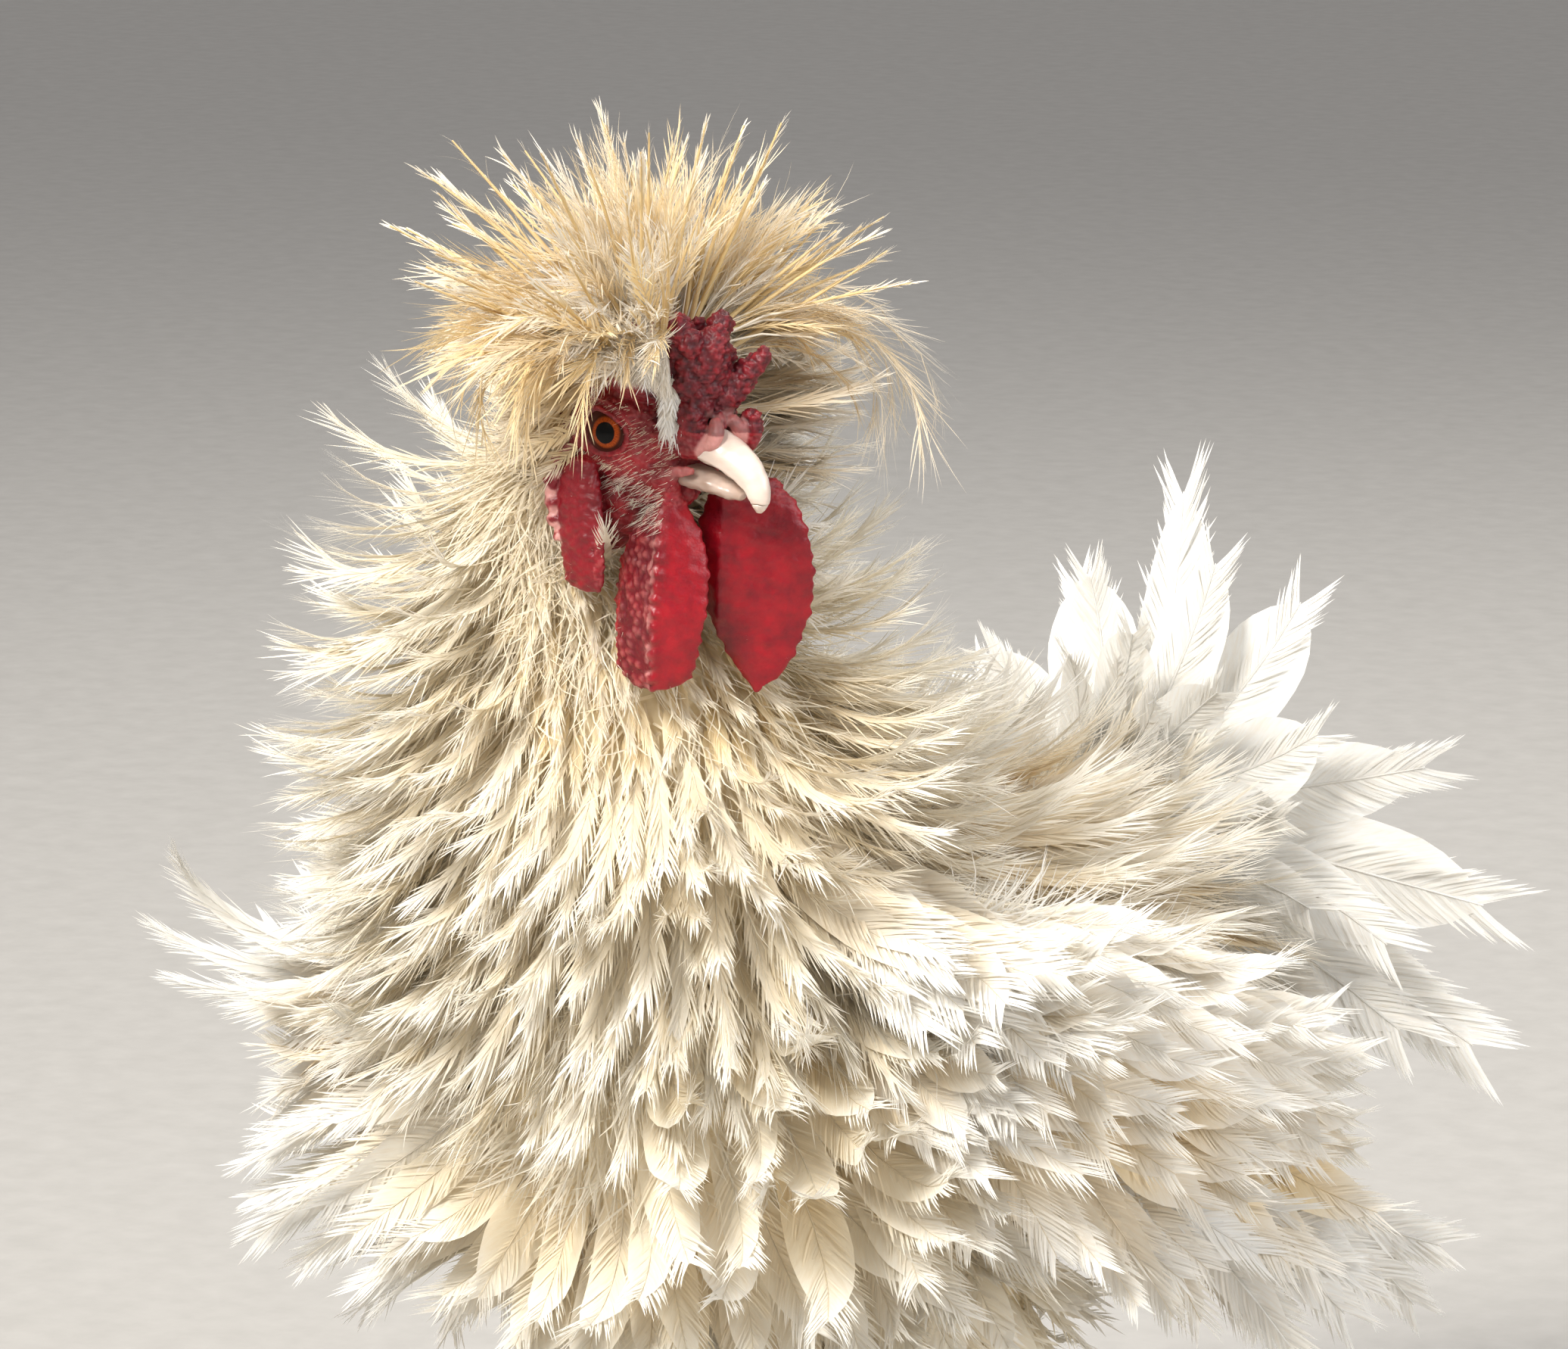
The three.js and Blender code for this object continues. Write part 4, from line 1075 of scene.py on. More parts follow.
def gape_fold(side):
    rows = [
        [6.6, -28, -6.6, 1.0, 1.0],
        [7.8, -22.5, -8.0, 1.8, 1.8],
        [8.8, -17.5, -9.4, 2.1, 2.3],
        [8.8, -12, -12.0, 1.8, 2.4],
    ]
    return side_limb(rows, side, (1, 0, 0))


def earlobe_limb(side):
    rows = [
        [14, 5, -9, 3.0, 4.5],
        [15.5, 4.6, -17, 3.0, 7.4],
        [16.5, 2.4, -27, 2.7, 8.0],
        [16.5, 0.8, -36, 2.5, 7.6],
        [16.2, 0.4, -41.5, 2.0, 7.0],
        [16, 0.4, -44, 1.0, 5.4],
    ]
    return side_limb(rows, side, (0, 1, 0))


def earlobe_rim(side):
    """The crinkled rear edge of the earlobe."""
    rows = [
        [13.5, 10.5, -6, 1.6, 1.8],
        [15.5, 13.0, -12, 2.0, 2.3],
        [17.0, 13.4, -19, 2.1, 2.2],
        [17.2, 11.6, -26, 1.9, 2.0],
        [17.0, 9.4, -32, 1.2, 1.3],
    ]
    return side_limb(rows, side, (0, 1, 0))


COMB_BULBS = 40


def crinkle(t, angle):
    return 0.5 * np.sin(34 * t) + 0.3 * np.sin(21 * t + 2 * angle)


def comb_shapes():
    """The bed, folds and bulbs of the comb, and the one horn that leans to the left."""
    dice = np.random.default_rng(5)
    shapes = [ball((0, -22, 17), (7.0, 7.4, 15.5), 24)]
    for k in range(COMB_BULBS):
        share = k / (COMB_BULBS - 1)
        turn = k * 2.4
        x = lerp(5.2, 7.0, share) * math.cos(turn) + dice.uniform(-0.8, 0.8)
        y = lerp(-25, -20, share) + lerp(4.5, 5.5, share) * math.sin(turn) + dice.uniform(-0.8, 0.8)
        z = lerp(5, 31, share)
        size = dice.uniform(2.2, 4.4)
        shapes.append(ball((x, y, z), (size, size * 0.95, size * 1.1), 20 * share, 14))
    shapes.append(ball((7.6, -34.5, 4.0), (2.6, 4.0, 6.4), 10, 18))
    horn = Limb([
        [2.0, -25, 8, 5.0, 5.0], [4.6, -28, 13, 4.6, 4.8], [7.2, -31, 18, 3.6, 4.0],
        [9.2, -34, 22.4, 2.5, 3.0], [10.2, -36, 25.4, 1.5, 1.8], [10.6, -36.6, 26.6, 0.7, 0.8],
    ], (0, 1, 0))
    shapes.append(loft(horn, 20, 16, bump=lambda t, a: 0.45 * np.sin(22 * t + 3 * a) * (1 - t)))
    return shapes


# The two wattles: a leaf hangs from top, broad along ahead, bowed and folded to out. Its rear and front
# edges lie at these places along ahead, at the shares of its length in WATTLE_DOWN.
WATTLE_DOWN = (0, 0.1, 0.22, 0.4, 0.6, 0.8, 0.92, 1.0)
WATTLES = {
    -1: {"top": (-4.8, -19, -11.5), "ahead": (0.25, -0.97, 0), "out": (-0.9, -0.43, 0), "length": 57,
         "bow": 1.0, "fold": 6.5,
         "rear": (-1.5, -4, -9, -14, -15, -13.5, -12.2, -11), "front": (2, 5, 9.5, 13, 13.5, 11.5, 10, 8.5)},
    1: {"top": (10.5, -24, -11), "ahead": (0.66, -0.75, 0), "out": (0.75, 0.66, 0), "length": 60,
        "bow": 2.0, "fold": -3.0,
        "rear": (-1, -4, -6, -6, -3, 3, 8, 11), "front": (14, 20, 23.5, 26, 26, 22.5, 18.5, 14)},
}


def wattle_shape(side):
    """A wattle's closed surface, with a scalloped rim and, on the right, a sharp ridge down its middle."""
    w = WATTLES[side]
    rows, columns = 80, 50
    down, share = np.meshgrid(np.linspace(0, 1, rows), np.linspace(0, 1, columns), indexing="ij")
    down, share = down.ravel(), share.ravel()
    rear = np.interp(down, WATTLE_DOWN, w["rear"])
    front = np.interp(down, WATTLE_DOWN, w["front"])
    along = lerp(rear, front, share)
    edge = np.abs(2 * share - 1)
    from_ridge = np.where(along < 0, along / np.minimum(rear, -0.5), along / np.maximum(front, 0.5))
    arch = w["fold"] * (1 - clamp(from_ridge) ** 1.1) * np.sin(math.pi * (0.1 + 0.75 * down))
    notch = 0.5 * np.sin(95 * down) + 0.3 * np.sin(61 * down + 1)
    ridge = np.exp(-(along / 1.5) ** 2) * (0.8 + 0.8 * notch) * (1 if side < 0 else 0.0)
    rim = 1 - 0.72 * edge ** 4
    thick = 2.2 * rim * (1 - 0.25 * down ** 4)
    round_end = 3.2 * clamp((down - 0.9) / 0.1) ** 2 * edge ** 3
    wave = np.sin(9 * down + 2.2 * share) * edge
    sheets = []
    for face in (1, -1):
        spread = (along + 0.7 * notch * np.sign(share - 0.5) * (edge > 0.97))[:, None]
        reach = (w["bow"] * down ** 1.2 + arch + wave + face * thick + (ridge if face > 0 else 0))[:, None]
        at = np.array(w["top"], float) + rows_of(0, 0, round_end - w["length"] * down)
        ahead, out = (unit(np.array(w[key], float)) for key in ("ahead", "out"))
        sheets.append(at + ahead * spread + out * reach)
    faces = grid_faces(rows, columns, False)
    total = rows * columns
    rim_line = np.concatenate([
        np.arange(columns), np.arange(1, rows) * columns + columns - 1,
        (rows - 1) * columns + np.arange(columns - 2, -1, -1), np.arange(rows - 2, 0, -1) * columns])
    after = np.roll(rim_line, -1)
    sides = np.vstack([np.stack([rim_line, after + total, after], -1),
                       np.stack([rim_line, rim_line + total, after + total], -1)])
    return np.vstack(sheets), np.vstack([faces, faces[:, ::-1] + total, sides])


def to_limb(points, limb, samples=40):
    """How far points are from a limb's path."""
    path = limb.path(np.linspace(0, 1, samples))
    return np.sqrt(((points[:, None] - path[None]) ** 2).sum(-1)).min(1)


def lid_opening(points):
    """Millimetres outside the almond of the open eye; negative inside it."""
    ahead = -(points[:, 1] - EYE_BALL[1])
    above = points[:, 2] - EYE_BALL[2]
    tilt = math.radians(14)
    u = ahead * math.cos(tilt) - above * math.sin(tilt)
    v = ahead * math.sin(tilt) + above * math.cos(tilt)
    corner = 0.55 * np.exp(-((np.abs(u) - 6.4) / 2.2) ** 2)
    shape = np.sqrt((u / 6.2) ** 2 + (v / 4.9) ** 2) - corner * (1 - np.abs(v) / 6).clip(0, 1) * 0.25
    return (shape - 1) * 5.2


def shape_lids(points, side):
    """Opens the skin over the eyeball and raises the rims of the lids round the opening."""
    middle = EYE_BALL * np.array([side, 1, 1])
    away = points - middle
    radius = length_of(away)[:, 0]
    near = (away[:, 0] * side > 0.5) & (radius < 17)
    gap = lid_opening(points)
    spin = np.arctan2(away[:, 2], away[:, 1])
    beads = 0.22 * np.sin(spin * 30) * np.exp(-((gap - 0.9) / 0.6) ** 2)
    rim = 0.95 * np.exp(-((gap - 0.9) / 0.85) ** 2) + 0.5 * np.exp(-((gap - 3.4) / 0.9) ** 2) + beads
    over = np.maximum(radius, EYE_RADIUS + 0.35) + rim
    groove = 0.45 * np.exp(-((gap - 2.2) / 0.6) ** 2)
    wanted = lerp(EYE_RADIUS - 1.2, over - groove, ramp(gap, -0.25, 0.45))
    fade = ramp(gap, 5.0, 9.0)
    wanted = lerp(wanted, radius, fade)
    moved = middle + away / radius[:, None] * wanted[:, None]
    return np.where(near[:, None], moved, points)


def head_skin():
    """Skull, face, comb, wattles and earlobes in one skin: points, triangles and tone."""
    shapes = [
        loft(skull_limb, 24, 40),
        ball((0, -7, -13), (9.5, 16, 8), 8),
        ball((0, 8, -20), (12, 15, 16)),
        ball(CREST_MIDDLE, CREST_SIZE - 1.5),
        wattle_shape(1),
        wattle_shape(-1),
    ]
    shapes += comb_shapes()
    for side in (1, -1):
        shapes += [
            ball((side * 7.5, -6, -8), (6.5, 11, 8)),
            ball((side * 8.0, -3, 5.5), (7.0, 10, 6)),
            loft(nostril_flap(side), 16, 14),
            loft(gape_fold(side), 14, 12),
            loft(earlobe_limb(side), 24, 20),
            loft(earlobe_rim(side), 40, 14, bump=crinkle),
            ball((side * 7.2, -18, -11), (3.4, 5, 4)),
            ball((side * 4.8, -24, 1.5), (4.4, 8.2, 6.0)),
        ]
    points, normals, triangles = fused(shapes, HEAD_VOXEL, 4)
    for side in (1, -1):
        points = shape_lids(points, side)
    points, tone = detail_head(points, normals)
    return points, triangles, tone


def detail_head(points, normals):
    """Wrinkles, grains and nodules on the bare skin, and how pale, dark and smooth it is; part of the dark
    is painted shade in the creases.
    """
    x, y, z = points.T
    eyes = np.abs(lid_opening(points)) + 40 * (np.abs(x) < 4)
    in_wattle = (z < -17) & (y < -8)
    right_wattle = in_wattle & (x < 2.5)
    in_lobe = (np.abs(x) > 11) & (y > -4.5) & (z < -9)
    in_comb = (y < -14) & (z > 4)
    flap = np.minimum(to_limb(points, nostril_flap(1)), to_limb(points, nostril_flap(-1)))
    fold = np.minimum(to_limb(points, gape_fold(1)), to_limb(points, gape_fold(-1)))
    on_flap = ramp(flap, 3.4, 2.4)
    grains = pebbles(points, 1.15, 3.0)
    coarse = pebbles(points, 2.3, 8.0)
    wrinkles = rumple(points * np.array([1.0, 1.0, 2.2]), 3.2, 4)
    bead = ramp(grains, 0.75, 0.15)
    knot = ramp(coarse, 0.75, 0.2)

    # The outer half of the right wattle, behind its ridge, is grainy; the rest of both is smooth.
    along = (points - np.array(WATTLES[-1]["top"])) @ unit(np.array(WATTLES[-1]["ahead"], float))
    grainy = np.where(right_wattle, ramp(along, 2.0, 0.2), 0.0)
    quiet = np.where(in_wattle, 1 - 0.9 * grainy, 0.0)
    face = 1 - in_wattle.astype(float) - 0.85 * in_lobe
    height = 0.20 * face * (bead - 0.4) + 0.16 * face * wrinkles
    height += np.where(in_comb, 0.55 * (knot - 0.4) + 0.3 * bead, 0.0) * (1 - on_flap)
    height += grainy * (0.6 * knot + 0.3 * bead)
    height += quiet * 0.12 * rumple(points, 5.0, 9)
    height += np.where(in_lobe, 0.25 * rumple(points, 3.0, 12), 0.0)
    height *= ramp(eyes, 0.2, 1.6) * (1 - 0.9 * on_flap)
    moved = points + normals * height[:, None]

    pale = 0.1 * face * bead + 0.16 * grainy * ramp(coarse, 0.6, 0.1) + 0.62 * on_flap
    on_ridge = right_wattle * np.exp(-(along / 1.3) ** 2)
    pale += 0.3 * on_ridge * ramp(rumple(points, 3.0, 31), -0.2, 0.6)
    pale += 0.25 * ramp(fold, 3.0, 1.5) * ramp(y, -18, -25)
    lobe_rim = np.minimum(to_limb(points, earlobe_rim(1)), to_limb(points, earlobe_rim(-1)))
    pale += 0.75 * ramp(lobe_rim, 2.6, 1.8) * ramp(rumple(points, 4.0, 21), -0.2, 0.5)
    pale = np.where(in_comb, 0.35 * pale, pale)
    # Painted shade: the dark is raised between the nodules of the comb and of the grainy wattle, in the
    # troughs of the wrinkles, and in the seam where the lids meet the eye. The rest of the dark, over the
    # comb, the earlobes and the grainy wattle as a whole, is the skin's own colour.
    dark = np.where(in_comb, 0.3 + 0.5 * (1 - knot), 0.0) + 0.25 * face * ramp(wrinkles, 0.2, -1.0)
    dark += 0.55 * ramp(eyes, 1.6, 0.4) + 0.3 * in_lobe + grainy * (0.25 + 0.4 * (1 - knot))
    smooth = np.where(in_wattle, quiet, 0.2) + 0.4 * in_lobe
    return moved, np.clip(rows_of(pale, dark, smooth), 0, 1)


def scute_bump(t, angle):
    """Broad overlapping scutes down the front of the shank and small scales behind."""
    front = clamp(-np.sin(angle) + 0.45)
    saw = np.mod(t * 15, 1.0)
    step = 0.8 * (1 - saw) * ramp(saw, 0.0, 0.12)
    beads = 0.3 * np.sin(t * 110) * np.sin(angle * 9)
    return front * step + (1 - front) * beads


def toe_bump(t, angle):
    """Scutes over the toe and soft pads under it."""
    above = clamp(np.sin(angle) + 0.3)
    saw = np.mod(t * 12, 1.0)
    pads = 0.4 * np.sin(t * 20)
    return above * 0.5 * (1 - saw) * ramp(saw, 0.0, 0.15) + (1 - above) * pads


def leg_skins():
    """Shanks and toes: points, triangles and tone."""
    shapes = []
    for side in (1, -1):
        shapes.append(loft(shank_limb(side), 150, 40, bump=scute_bump))
        shapes.append(ball((side * STANCE, ANKLE_Y, 9.5), (8.5, 9, 7.5)))
        for toe in TOES:
            shapes.append(loft(toe_limb(side, toe), 70, 28, bump=toe_bump))
        shapes.append(ball((side * (STANCE - 5), ANKLE_Y + 8, 36), (3.4, 4.4, 3.4)))
    points, normals, triangles = fused(shapes, LEG_VOXEL, 2)
    beads = pebbles(points, 1.7, 5.0)
    points = points + normals * (0.18 * ramp(beads, 0.8, 0.2))[:, None]
    points[:, 2] = np.maximum(points[:, 2], 0.0)
    tone = rows_of(0.5 * ramp(beads, 0.5, 0.1), 0, 0)
    return points, triangles, tone


def body_skins():
    """The skin of torso, neck, wings, tail root and thighs, under the coat."""
    shapes = [loft(torso_limb, 40, 48, -6), loft(neck_limb, 30, 40, -5), loft(tail_limb, 16, 24, -5)]
    for side in (1, -1):
        shapes += [loft(wing_limb(side), 30, 30, -6), loft(thigh_limb(side), 24, 28, -4)]
        shapes.append(ball((side * 64, -6, 236), (18, 38, 22)))
    shapes.append(ball((8, -84, 402), (13, 13, 22)))
    points, normals, triangles = fused(shapes, BODY_VOXEL, 6)
    points = points + normals * (0.5 * rumple(points, 9.0, 3))[:, None]
    return points, triangles, np.zeros((len(points), 3))


FLESH = ["torso", "neck", "crest", "wing_left", "wing_right", "tail", "thigh_left", "thigh_right", "head",
         "comb", "wattle_left", "wattle_right", "earlobe_left", "earlobe_right", "shank_left",
         "shank_right", "foot_left", "foot_right"]


def build_skin():
    """One skin for the whole bird, with a material for the bare face, the body and the legs."""
    head_points, head_triangles, head_tone = head_skin()
    made = [(from_head(head_points), head_triangles, head_tone), body_skins(), leg_skins()]
    starts = np.cumsum([0] + [len(part[0]) for part in made])
    points = np.vstack([part[0] for part in made])
    triangles = np.vstack([part[1] + start for part, start in zip(made, starts)])
    mesh = new_mesh("skin", points, triangles)
    add_attribute(mesh, "tone", "FLOAT_VECTOR", np.vstack([part[2] for part in made]))
    for material in (red_skin, body_skin, leg_skin):
        mesh.materials.append(material)
    slots = np.repeat([0, 1, 2], [len(part[1]) for part in made])
    mesh.polygons.foreach_set("material_index", slots.astype(np.int32))
    known = [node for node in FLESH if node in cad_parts]
    add_piece("skin", mesh, known)
    return head_points


head_points = build_skin()


# Beak, eyes and claws

SIDES = ((1, "left"), (-1, "right"))


def hard_piece(name, points, triangles, tone, material, nodes):
    mesh = new_mesh(name, points, triangles)
    add_attribute(mesh, "tone", "FLOAT_VECTOR", tone)
    mesh.materials.append(material)
    add_piece(name, mesh, nodes)


upper_beak_limb = Limb(
    [
        [0, -14, 1.0, 8, 7],
        [0, -21, 0.6, 7.6, 6.6],
        [0, -28, -0.4, 6.8, 5.8],
        [0, -35, -2.0, 5.8, 5.4],
        [0, -40.5, -4.4, 4.9, 5.2],
        [0, -44.5, -7.6, 3.9, 4.2],
        [0, -46.4, -10.8, 3.3, 3.2],
        [0, -46.7, -13.4, 2.3, 2.3],
        [0, -46.4, -15.2, 0.9, 0.9],
    ],
    UP,
)
lower_beak_limb = Limb(
    [
        [0, -12, -9.4, 7, 3.4],
        [0, -22, -9.8, 6.2, 3.2],
        [0, -30, -10.4, 5.0, 2.8],
        [0, -37, -11.4, 3.4, 2.2],
        [0, -40.5, -12.2, 1.4, 1.0],
    ],
    UP,
)


def beak_section(t, angle):
    """Narrow along the ridge, bulging at the sides, with a cutting edge below."""
    high = np.sin(angle)
    across = np.cos(angle) * (1 - 0.28 * clamp(high) ** 1.5)
    down = np.where(high < 0, high * 0.8, high)
    edge = 0.12 * np.exp(-((high + 0.55) / 0.2) ** 2)
    return across * (1 + edge), down


def build_beak():
    for name, limb in (("upper_beak", upper_beak_limb), ("lower_beak", lower_beak_limb)):
        section = beak_section if name == "upper_beak" else None
        points, triangles = loft(limb, 90, 56, reshape=section)
        points = points + rows_of(0, 0, 0.12 * rumple(points, 4.0, 6))
        t = (-points[:, 1] - 14) / 28
        # Darker low on the upper beak towards its base, and all over the lower beak.
        darkening = 0.35 * ramp(points[:, 2], -3, -7) * ramp(t, 0.8, 0.2)
        if name == "lower_beak":
            darkening = 0.4 + 0.2 * rumple(points, 6.0, 2)
        hard_piece("horn_of_" + name, from_head(points), face_out(points, triangles),
                   rows_of(0, clamp(darkening), 0), beak_horn, [name])


def build_eyes():
    for side, word in SIDES:
        points, triangles = ball((0, 0, 0), (1, 1, 1), 0, 72)
        gaze = unit(np.array([side, -0.36, 0.02]))
        toward = dot(points, gaze[None])
        across = unit(np.cross(gaze, np.array(UP, float)))
        upward = np.cross(across, gaze)
        u, v = points @ across, points @ upward
        from_middle = np.sqrt((u / 0.92) ** 2 + v ** 2)
        bulge = 0.03 * ramp(toward, 0.80, 0.95)
        polar = np.where(toward > 0, from_middle / 0.56, 2.5)
        spin = np.arctan2(v, u)
        surface = points * (1 + bulge)[:, None] * EYE_RADIUS + EYE_BALL * np.array([side, 1, 1])
        hard_piece("ball_of_eye_" + word, from_head(surface), face_out(surface, triangles),
                   rows_of(polar, np.sin(3 * spin), np.cos(3 * spin)), eye_surface, ["eye_" + word])


def build_claws():
    for side, word in SIDES:
        shapes = [loft(claw_limb(side, toe), 30, 24) for toe in TOES]
        points, triangles = joined(shapes)
        points[:, 2] = np.maximum(points[:, 2], 0.4)
        tips = np.concatenate([np.linspace(0, 1, len(shape[0])) for shape in shapes])
        nodes = [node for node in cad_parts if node.startswith("claw") and node.find(word) > 0]
        hard_piece("claws_" + word, points, triangles, rows_of(0, 0.6 * tips, 0), claw_horn, nodes)


build_beak()
build_eyes()
build_claws()


# Coats

# How many feathers each part of the head has, and how far apart those of the body stand
CREST_STRAWS, CREST_PLUMES, CREST_SHEATHS, HANGING_PLUMES = 330, 300, 110, 9
DOME_DOWN, BROW_TUFT, RUFF_FEATHERS, NAPE_FEATHERS = 5200, 34, 170, 620
TORSO_SPACING, THIGH_SPACING = 12.6, 10.5

# What the feathers of each region have in common: the shape of the vane, the number of its barbs and their
# angles at root and tip, how ragged and bent they are, how far the closed middle reaches, and the tints
HACKLE = {"shape": "lance", "barbs": 30, "angle": (24, 11), "fray": 0.14, "bend": 0.25, "clumps": 34,
          "white_tip": 0.35, "buff_fade": 0.6, "quill": 0.28, "longest": 0.3, "cup": -0.05, "web": 0.5,
          "web_rows": 7}
BREAST = {"shape": "leaf", "barbs": 48, "angle": (44, 31), "fray": 0.1, "bend": 0.25, "clumps": 24,
          "white_tip": 0.45, "buff_fade": 0.95, "ruffle": 0.16, "waves": 8, "cup": 0.08, "longest": 0.24,
          "web": 0.8, "overlap": 1.05}
SWEEP = {"shape": "lance", "barbs": 42, "angle": (30, 16), "fray": 0.06, "bend": 0.22, "clumps": 30,
         "white_tip": 0.6, "buff_fade": 0.8, "longest": 0.22, "ruffle": 0.06, "web": 0.78}
SADDLE = {"shape": "lance", "barbs": 30, "angle": (28, 12), "fray": 0.1, "bend": 0.3, "clumps": 34,
          "white_tip": 0.4, "buff_fade": 0.5, "longest": 0.28, "web": 0.7}
FLIGHT = {"shape": "broad", "barbs": 70, "angle": (44, 31), "fray": 0.02, "bend": 0.25, "clumps": 40,
          "white_tip": 0.2, "quill": 0.75, "bare": 0.12, "cup": -0.04, "longest": 0.18, "overlap": 1.5,
          "web": 0.93, "blunt": 0.9, "web_rows": 14}
COVERT = {"shape": "leaf", "barbs": 44, "angle": (44, 31), "fray": 0.04, "bend": 0.3, "clumps": 26,
          "white_tip": 0.45, "buff_fade": 0.8, "cup": 0.06, "longest": 0.24, "ruffle": 0.08, "web": 0.86,
          "overlap": 1.05}
FLUFF = {"shape": "brush", "barbs": 22, "angle": (44, 20), "fray": 0.35, "bend": 0.3, "clumps": 16,
         "white_tip": 0.3, "longest": 0.4, "overlap": 0.9}
CREST_BRUSH = {"shape": "brush", "barbs": 20, "angle": (22, 12), "fray": 0.3, "bend": 0.15, "clumps": 16,
               "white_tip": 0.1, "buff_fade": 0.1, "bare": 0.25, "longest": 0.26, "overlap": 0.8,
               "quill": 0.34, "white_quill": 0.3}


def torso_flow(root, out):
    """How the coat of the torso lies: parted on the breast, swept back over the saddle, down the flanks."""
    x, y, _ = root.T
    spread = clamp((x - PARTING_X) / 45, -1, 1)
    breast = rows_of(0.9 * spread, 0.25, -1)
    side = clamp(x / 34, -1, 1)
    saddle = rows_of(0.85 * side, 1, -0.45 * np.abs(side))
    flank = rows_of(np.sign(x) * 0.45, 0.75, -1)
    back = lerp(flank, saddle, ramp(out[:, 2], -0.1, 0.35)[:, None])
    return lerp(breast, back, ramp(y, -40, -14)[:, None])


def torso_coat(dice):
    coat = Coat("coat_torso", cream_feather, "cream_feather", ["torso"])
    t, angle = torso_limb.roots(TORSO_SPACING, (0.05, 0.94), dice)
    root = torso_limb.point(t, angle, -2.0)
    out = torso_limb.normal(t, angle)
    x, y, z = root.T
    n = len(t)
    # No feathers grow where the neck, the wings and the thighs cover the torso.
    side = np.abs(x)
    hidden = (z > 262 + 0.2 * (y + 90)) & (y < 4)
    hidden |= ((y > -24) & (y < np.where(x < 0, 52, 100)) & (side > 40)
               & (out[:, 2] < 0.6) & (z > 196 - 0.2 * (y + 40)))
    hidden |= (y > -18) & (y < 62) & (z < 196) & (side > 22) & (side < 62)
    breast = ramp(y, -20, -40)
    sweeping = ramp(x, -PARTING_X + 6, -PARTING_X - 14) * ramp(z, BODY_MIDDLE + 20, BODY_MIDDLE) * breast
    lie = torso_flow(root, out)
    lie = lerp(lie, rows_of(-1.6, -0.45, -0.9), sweeping[:, None])
    length = lerp(lerp(62, 54, breast), 88, sweeping)
    f = {
        "root": root, "out": out, "lie": lie + dice.normal(0, 0.07, (n, 3)),
        "length": length * dice.uniform(0.88, 1.08, n),
        "width": lerp(lerp(17, 19, breast), 17, sweeping) * dice.uniform(0.8, 1.2, n),
        "lift": lerp(lerp(14, 22, breast), 40, sweeping) + dice.uniform(-5, 6, n),
        "curl": lerp(lerp(42, 84, breast), 20, sweeping) * dice.uniform(0.6, 1.3, n),
        **loose(dice, n, 22, 55),
        "white": 0.15 + 0.25 * dice.uniform(0, 1, n), "buff": 0.5 + 0.7 * dice.uniform(0, 1, n),
        "uv": on_chart("torso", angle, t),
    }
    f["white"] = f["white"] + 0.3 * sweeping
    front, swept, above = breast > 0.5, sweeping >= 0.5, out[:, 2] > 0
    for area, look in ((front & ~swept, BREAST), (front & swept, SWEEP), (~front & above, SADDLE),
                       (~front & ~above, FLUFF)):
        coat.grow(feather_part, picked(full_spec(f, n), area & ~hidden), look, dice)
    down_on_limb(coat, torso_limb, "torso", torso_flow, 9000, (0.03, 0.97), 24, 0.9, dice)
    coat.build()


def down_on_limb(coat, limb, chart, flow, count, span, length, width, dice, white=0.25, buff=0.35):
    """Loose down close to the skin, which fills the gaps between feathers."""
    t = dice.uniform(span[0], span[1], count)
    angle = dice.uniform(0, 2 * math.pi, count)
    root = limb.point(t, angle, -4.0)
    out = limb.normal(t, angle)
    f = {
        "root": root, "out": out, "lie": flow(root, out) + dice.normal(0, 0.45, (count, 3)),
        "length": length * dice.uniform(0.6, 1.2, count), "width": width * dice.uniform(0.7, 1.4, count),
        "lift": dice.uniform(15, 45, count), "curl": dice.uniform(-30, 50, count),
        **loose(dice, count, 40, 90),
        "white": white + 0.2 * dice.uniform(0, 1, count), "buff": buff * dice.uniform(0.6, 1.2, count),
        "uv": on_chart(chart, angle, t),
    }
    coat.grow(blade_part, f, {}, dice)


def hackle_flow(root, out):
    return rows_of(0.3 * out[:, 0], 0.25 * out[:, 1], -1.0)


def hackle_coat(dice):
    coat = Coat("coat_neck", cream_feather, "cream_feather", ["neck"])
    for spacing, reach, inset in ((11.0, 0.86, -3.0), (9.5, 1.0, -1.0)):
        t, angle = neck_limb.roots(spacing, (0.03, 0.86), dice)
        root = neck_limb.point(t, angle, inset)
        out = neck_limb.normal(t, angle)
        low = 1 - ramp(t, 0.1, 0.85)
        front = clamp(0.75 * out[:, 0] - 0.65 * out[:, 1])
        under_wattles = (out[:, 0] > 0.1) & (root[:, 2] > BODY_MIDDLE + 104) & (front > 0.6)
        n = len(t)
        keep = out[:, 2] > -0.9
        short = np.where(under_wattles, 0.5, 1.0)
        f = {
            "root": root, "out": out, "lie": hackle_flow(root, out) + dice.normal(0, 0.08, (n, 3)),
            "length": lerp(54, 64, low) * (1 - 0.22 * front) * dice.uniform(0.82, 1.12, n) * reach * short,
            "width": dice.uniform(8, 12.5, n),
            "lift": (lerp(50, 34, low) + dice.uniform(-9, 9, n)) * np.where(under_wattles, 0.35, 1.0),
            "curl": (46 + dice.uniform(-18, 26, n)) * np.where(under_wattles, 0.3, 1.0),
            **loose(dice, n, 16, 50),
            # Under the wattles the feathers are made less white and more buff: painted shade from the
            # wattles.
            "white": (0.15 + 0.25 * dice.uniform(0, 1, n)) * np.where(under_wattles, 0.2, 1.0),
            "buff": lerp(0.32, 0.5, low) * dice.uniform(0.6, 1.4, n) + 0.5 * under_wattles,
            "uv": on_chart("neck", angle, t),
        }
        coat.grow(feather_part, picked(full_spec(f, n), keep), HACKLE, dice)
    down_on_limb(coat, neck_limb, "neck", hackle_flow, 9000, (0.02, 0.97), 26, 0.8, dice, 0.15, 0.5)
    coat.build()


